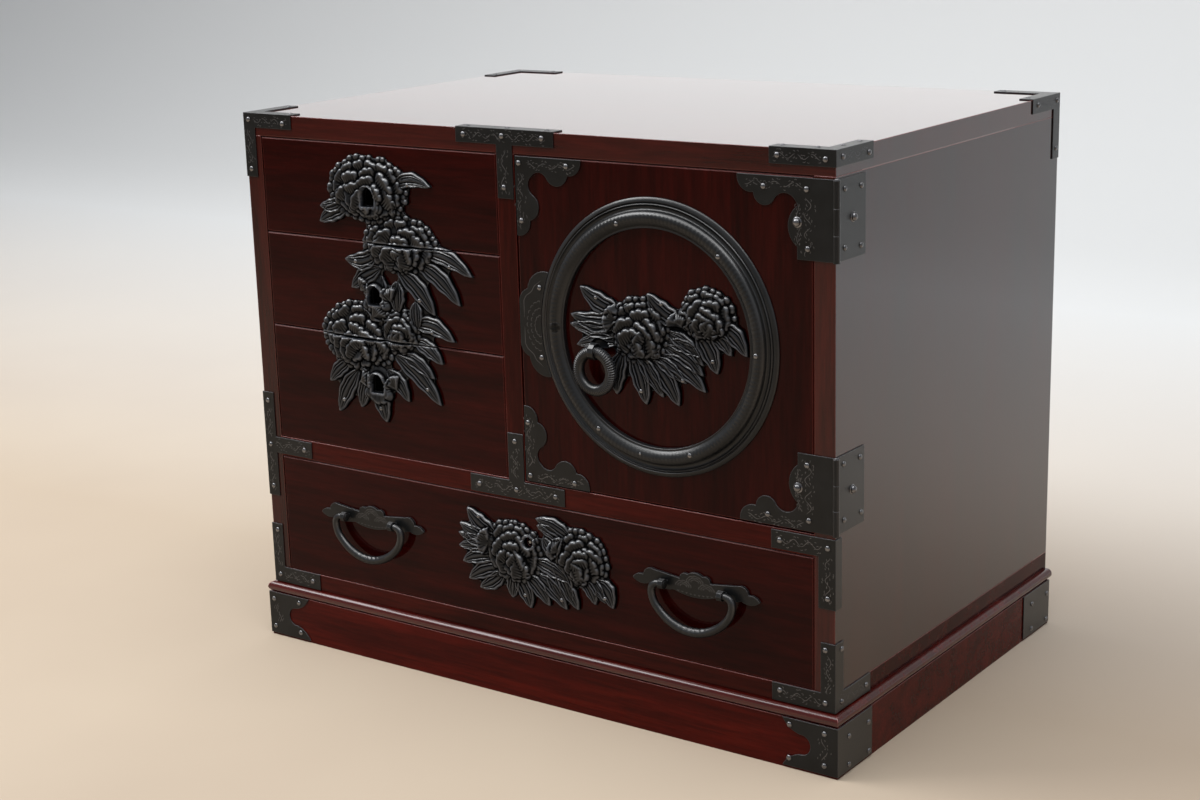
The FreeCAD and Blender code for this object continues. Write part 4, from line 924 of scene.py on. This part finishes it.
def nails():
    """The round-headed nails of each body, and the domed studs of the hinges."""
    def nailed(name, shells, body, replaced=(), sharp=60):
        piece(name, shells, body, nail_steel, replaced, sharp)

    case = Shells()
    nail_heads(case, "front", FRONT_NAILS, PLATE)
    nail_heads(case, "front", PLINTH_NAILS, PLINTH_PLATE)
    for face, places in (("right", RIGHT_NAILS), ("left", LEFT_NAILS)):
        nail_heads(case, face, SIDE_NAILS + places, PLATE)
        nail_heads(case, face, PLINTH_SIDE_NAILS, PLINTH_PLATE)
    nail_heads(case, "top", TOP_NAILS, PLATE, TOP_NAIL_RADIUS, TOP_NAIL_RISE)
    nailed("case_nails", case, "case")
    door = Shells()
    nail_heads(door, "front", DOOR_NAILS, PLATE)
    nail_heads(door, "front", LOCK_NAILS, LOCK_PLATE)
    x, z, _ = middle("door_ring")
    for degrees, radius in RING_NAILS:
        way = radians(degrees)
        u, v = x + RING_NAILS_OUT * cos(way), z + RING_NAILS_OUT * sin(way)
        dome(door, "front", u, v, RING_TOP, radius, radius * 0.6)
    nailed("door_nails", door, "door")
    for body, seats in NAIL_SEATS.items():
        heads = Shells()
        for u, v, base, metal in seats:
            rise = min(metal + 1.0, MAX_HEIGHT) - base
            dome(heads, "front", u, v, base, SPRAY_NAIL_RADIUS, rise)
        nailed(body + "_spray_nails", heads, body)
    for node_name, body, face, axis in HINGE_STUDS:
        low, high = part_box(node_name)
        studs = Shells()
        for v in (low.z / MM + STUD_FROM_END, high.z / MM - STUD_FROM_END):
            for base, radius, rise, rings in STUD_DOMES:
                u = (low[axis] + high[axis]) / 2 / MM
                dome(studs, face, u, v, base, radius, rise, rings, STUD_SIDES)
        nailed(node_name + "_domed", studs, body, (node_name,), 50)


PIN_LENGTH, PIN_RADIUS, HEAD_RADIUS, HEAD_HEIGHT, PIN_SIDES = 62.7, 1.15, 1.95, 1.2, 24
HEAD_CLEARANCE = 0.04


def hinge_pins():
    """Turned pins whose domed heads stand clear of the knuckles."""
    low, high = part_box("hinge_pins")
    x, y = (low.x + high.x) / 2, (low.y + high.y) / 2
    seat = PIN_LENGTH - HEAD_HEIGHT + HEAD_CLEARANCE
    profile = ((PIN_RADIUS - 0.3, 0.05), (PIN_RADIUS, 0.5), (PIN_RADIUS, seat), (HEAD_RADIUS, seat),
               (HEAD_RADIUS, PIN_LENGTH - 0.5), (HEAD_RADIUS * 0.8, PIN_LENGTH - 0.15),
               (HEAD_RADIUS * 0.45, PIN_LENGTH - 0.01))
    pins = Shells()
    for foot in (low.z, high.z - PIN_LENGTH * MM):
        pins.add([(x + r * MM * cos(a), y + r * MM * sin(a), foot + h * MM)
                  for r, h in profile for a in around(PIN_SIDES)], skin(len(profile), PIN_SIDES))
    piece("hinge_pins_turned", pins, "case", nail_steel, ("hinge_pins",), 50)


# --- Engraving ---
CURL_STEPS = 6
HANDLE_PLATE = 2.6


def stroke(shells, face, points, base, width, rise=0.1):
    """A fine raised line along points (u, v) of a face, tapering to its ends."""
    points = np.array(points, float)
    count = len(points)
    direction = np.gradient(points, axis=0)
    direction /= np.maximum(np.hypot(direction[:, 0], direction[:, 1]), 1e-9)[:, None]
    normal = np.stack([-direction[:, 1], direction[:, 0]], axis=1)
    taper = np.clip(np.sin(np.linspace(0.12, pi - 0.12, count)) * 1.6, 0.25, 1.0) * width / 2
    verts = []
    for point, out in zip(points, normal * taper[:, None]):
        for side, h in ((1, -0.05), (1, rise), (-1, rise), (-1, -0.05)):
            verts.append(PLACES[face](*(point + side * out), base + h))
    shells.add(verts, skin(count, 4, flip=face not in MIRRORED))


def curl(u, v, way, size, hand, turns):
    """A short spiral that leaves a point in the direction way."""
    points = [(u, v)]
    for i in range(CURL_STEPS):
        share = i / CURL_STEPS
        step = size * 2.2 / CURL_STEPS * (1 - 0.55 * share)
        way += hand * turns * 2 * pi / CURL_STEPS * (0.5 + share)
        u += step * cos(way)
        v += step * sin(way)
        points.append((u, v))
    return points


def vine(shells, face, u0, v0, u1, v1, across, base, phase=0.0):
    """Arabesque cut along a strap: a broken waving stem among short curved strokes."""
    length = hypot(u1 - u0, v1 - v0)
    du, dv = (u1 - u0) / length, (v1 - v0) / length
    pitch = max(12.0, length / max(1, round(length / 15.0)))
    steps = max(12, int(length / 1.2))

    def at(s, o):
        return u0 + du * s - dv * o, v0 + dv * s + du * o

    def wave(s):
        return across * 0.2 * sin(2 * pi * s / pitch + phase)

    stem = [at(length * i / steps, wave(length * i / steps)) for i in range(steps + 1)]
    for i in range(0, steps - 1, 9):
        stroke(shells, face, stem[i:i + random.integers(8, 11)], base, 0.5, 0.08)
    heading = atan2(dv, du)
    most = 0.42 * across
    s = 0.8
    while s < length - 1.5:
        for hand in (-1, 1):
            offset = wave(s) + hand * across * draw(0.06, 0.34)
            way = heading + hand * draw(0.2, 1.5)
            start = at(s + draw(-0.6, 0.6), max(-most, min(most, offset)))
            cut = curl(*start, way, draw(0.9, 1.7), -hand, draw(0.3, 0.6))
            stroke(shells, face, cut, base, draw(0.35, 0.55), 0.08)
        s += draw(2.2, 3.8)


# Straps: u and v of either end, and how wide the vine runs across them.
FRONT_RUNS = (
    (-50, 486.5, 36, 486.5, 11), (-7.5, 476, -7.5, 440, 12), (-288, 486.5, -246, 486.5, 10),
    (-294, 478, -294, 448, 10), (246, 486.5, 288, 486.5, 10), (-288, 187.5, -246, 187.5, 12),
    (-294, 222, -294, 194, 10), (-294, 180, -294, 142, 10), (-52, 187.5, 38, 187.5, 12),
    (-7.5, 198, -7.5, 224, 12), (247, 187.5, 288, 187.5, 12), (293, 180, 293, 142, 11),
    (-288, 60.5, -248, 60.5, 12), (-294, 68, -294, 100, 10), (248, 60.5, 288, 60.5, 12),
    (294, 68, 294, 100, 10),
)
PLINTH_RUNS = ((293, 13.5, 293, 32, 13), (-294, 13.5, -294, 32, 13))
SIDE_RUNS = (
    (-188, 486.5, -140, 486.5, 10), (158, 486.5, 206, 486.5, 10), (-188, 60.5, -140, 60.5, 12),
)
DOOR_RUNS = (
    (9, 458, 9, 412, 12), (16, 465, 64, 465, 9), (9, 210, 9, 256, 12), (16, 203, 64, 203, 9),
    (222, 465, 272, 465, 9), (276, 456, 276, 412, 14), (267, 452, 268, 420, 6),
    (222, 203, 272, 203, 9), (276, 212, 276, 256, 14), (267, 214, 268, 248, 6),
)


def engraving():
    def engraved(name, shells, body):
        piece(name, shells, body, engraved_line, (), 30)

    case = Shells()
    for number, run in enumerate(FRONT_RUNS + PLINTH_RUNS):
        base = PLINTH_PLATE if run in PLINTH_RUNS else PLATE
        vine(case, "front", *run, base, 1.3 * number)
    for face in ("right", "left"):
        for run in SIDE_RUNS:
            vine(case, face, *run, PLATE)
    engraved("case_engraving", case, "case")
    door = Shells()
    for number, run in enumerate(DOOR_RUNS):
        vine(door, "front", *run, PLATE, 1.1 * number)
    lock_plate_engraving(door)
    engraved("door_engraving", door, "door")
    drawer = Shells()
    for side in (-1, 1):
        clouds(drawer, side * HANDLE_X, HANDLE_Z)
    engraved("handle_engraving", drawer, "wide_drawer")


def lock_plate_engraving(shells):
    """A line inside the edge, and a fan of petals."""
    for count, radius in ((7, 5.0), (9, 9.0), (11, 13.0)):
        for i in range(count):
            angle = pi / 2 + pi * (i + 0.5) / count
            u, v = 26 + radius * cos(angle), 333 + radius * 1.5 * sin(angle)
            scallop = [(u + 1.7 * cos(angle + a), v + 1.7 * sin(angle + a))
                       for a in np.linspace(-1.3, 1.3, 7)]
            stroke(shells, "front", scallop, LOCK_PLATE, 0.4)
    for sign in (-1, 1):
        edge = [(u, 335 + sign * v)
                for u, v in ((9, 4), (9, 18), (11, 22), (17, 26), (20, 31), (27, 36))]
        stroke(shells, "front", resample(edge, 24), LOCK_PLATE, 0.45)


def clouds(shells, x, z):
    """Three scalloped clouds of nested arcs on a handle plate, over a row of small notches."""
    for cx, cz, size in ((-11, -1.0, 7.0), (11, -1.0, 7.0), (0, 4.0, 7.5)):
        for nest in range(3):
            r, lobes = size - nest * 2.1, 5 - nest
            for i in range(lobes):
                start, end = pi * i / lobes, pi * (i + 1) / lobes
                lobe = []
                for s in np.linspace(0, 1, 7):
                    out, angle = r + 0.6 * sin(pi * s), start + (end - start) * s
                    lobe.append((x + cx + out * cos(angle), z + cz + 0.72 * out * sin(angle)))
                stroke(shells, "front", lobe, HANDLE_PLATE, 0.4)
    for i in range(9):
        u = x + (i - 4) * 4.0
        v = z - 4.5 - 1.2 * sin(pi * i / 8)
        stroke(shells, "front", [(u - 1.0, v), (u, v - 0.7), (u + 1.0, v)], HANDLE_PLATE, 0.5)


cascade()
door_spray()
wide_spray()
door_ring()
pull_ring()
bail("left", -HANDLE_X)
bail("right", HANDLE_X)
nails()
hinge_pins()
engraving()


# --- Floor, backdrop and light ---
FLOOR_HALF, FLOOR_FRONT, FLOOR_BACK, BACKDROP_TOP, BEND_RADIUS = 9.0, -7.0, 3.2, 6.0, 1.2


def floor_and_backdrop():
    """A warm floor that bends up into a pale grey backdrop, with painted shade darkening the floor
    towards +X.
    """
    look = Look("studio_paper")
    vector = look.coordinates()
    cloud = look.noise(vector, 2.0, 3.0)
    table = look.ramp(cloud, [(0.3, (0.53, 0.43, 0.33)), (0.7, (0.57, 0.47, 0.36))])
    # Painted shade: the floor darkens towards +X, right of the chest.
    table = look.mixed(look.facing(vector, "X", 0.25, 1.1), table, (0.42, 0.32, 0.24))
    colour = look.mixed(look.facing(vector, "Y", 0.0, 1.5), table, (0.86, 0.87, 0.87))
    look.shade({"Base Color": colour, "Roughness": 0.9})
    bend = FLOOR_BACK - BEND_RADIUS
    profile = [(FLOOR_FRONT, 0.0), (bend, 0.0)] + arc(bend, BEND_RADIUS, BEND_RADIUS, -pi / 2, 0, 12)
    profile.append((FLOOR_BACK, BACKDROP_TOP))
    verts = [(x, y, z) for y, z in profile for x in (-FLOOR_HALF, FLOOR_HALF)]
    faces = [(i, i + 1, i + 3, i + 2) for i in range(0, len(verts) - 2, 2)]
    floor = Shells().add(verts, faces).object("studio_floor")
    floor.data.materials.append(look.material)
    floor.data.polygons.foreach_set("use_smooth", [True] * len(faces))


def lamp(name, place, target, size, power):
    data = bpy.data.lights.new(name, "AREA")
    data.shape = "RECTANGLE"
    data.size, data.size_y = size
    data.energy = power
    obj = linked(name, data)
    obj.location = place
    obj.rotation_mode = "QUATERNION"
    obj.rotation_quaternion = (Vector(target) - Vector(place)).to_track_quat("-Z", "Y")


floor_and_backdrop()
lamp("key_light", (-1.9, -0.9, 2.4), (0.0, 0.0, 0.25), (1.7, 1.3), 50.0)
lamp("top_light", (0.2, -0.5, 3.0), (0.1, -0.1, 0.2), (3.4, 2.6), 82.0)
lamp("back_light", (-2.3, 3.0, 1.45), (-2.3, 0.0, 1.3), (5.0, 1.3), 13.0)
world = bpy.data.worlds.new("studio_world")
world.use_nodes = True
sky = world.node_tree.nodes["Background"].inputs
sky["Color"].default_value = (0.82, 0.84, 0.88, 1.0)
sky["Strength"].default_value = 0.32
scene.world = world
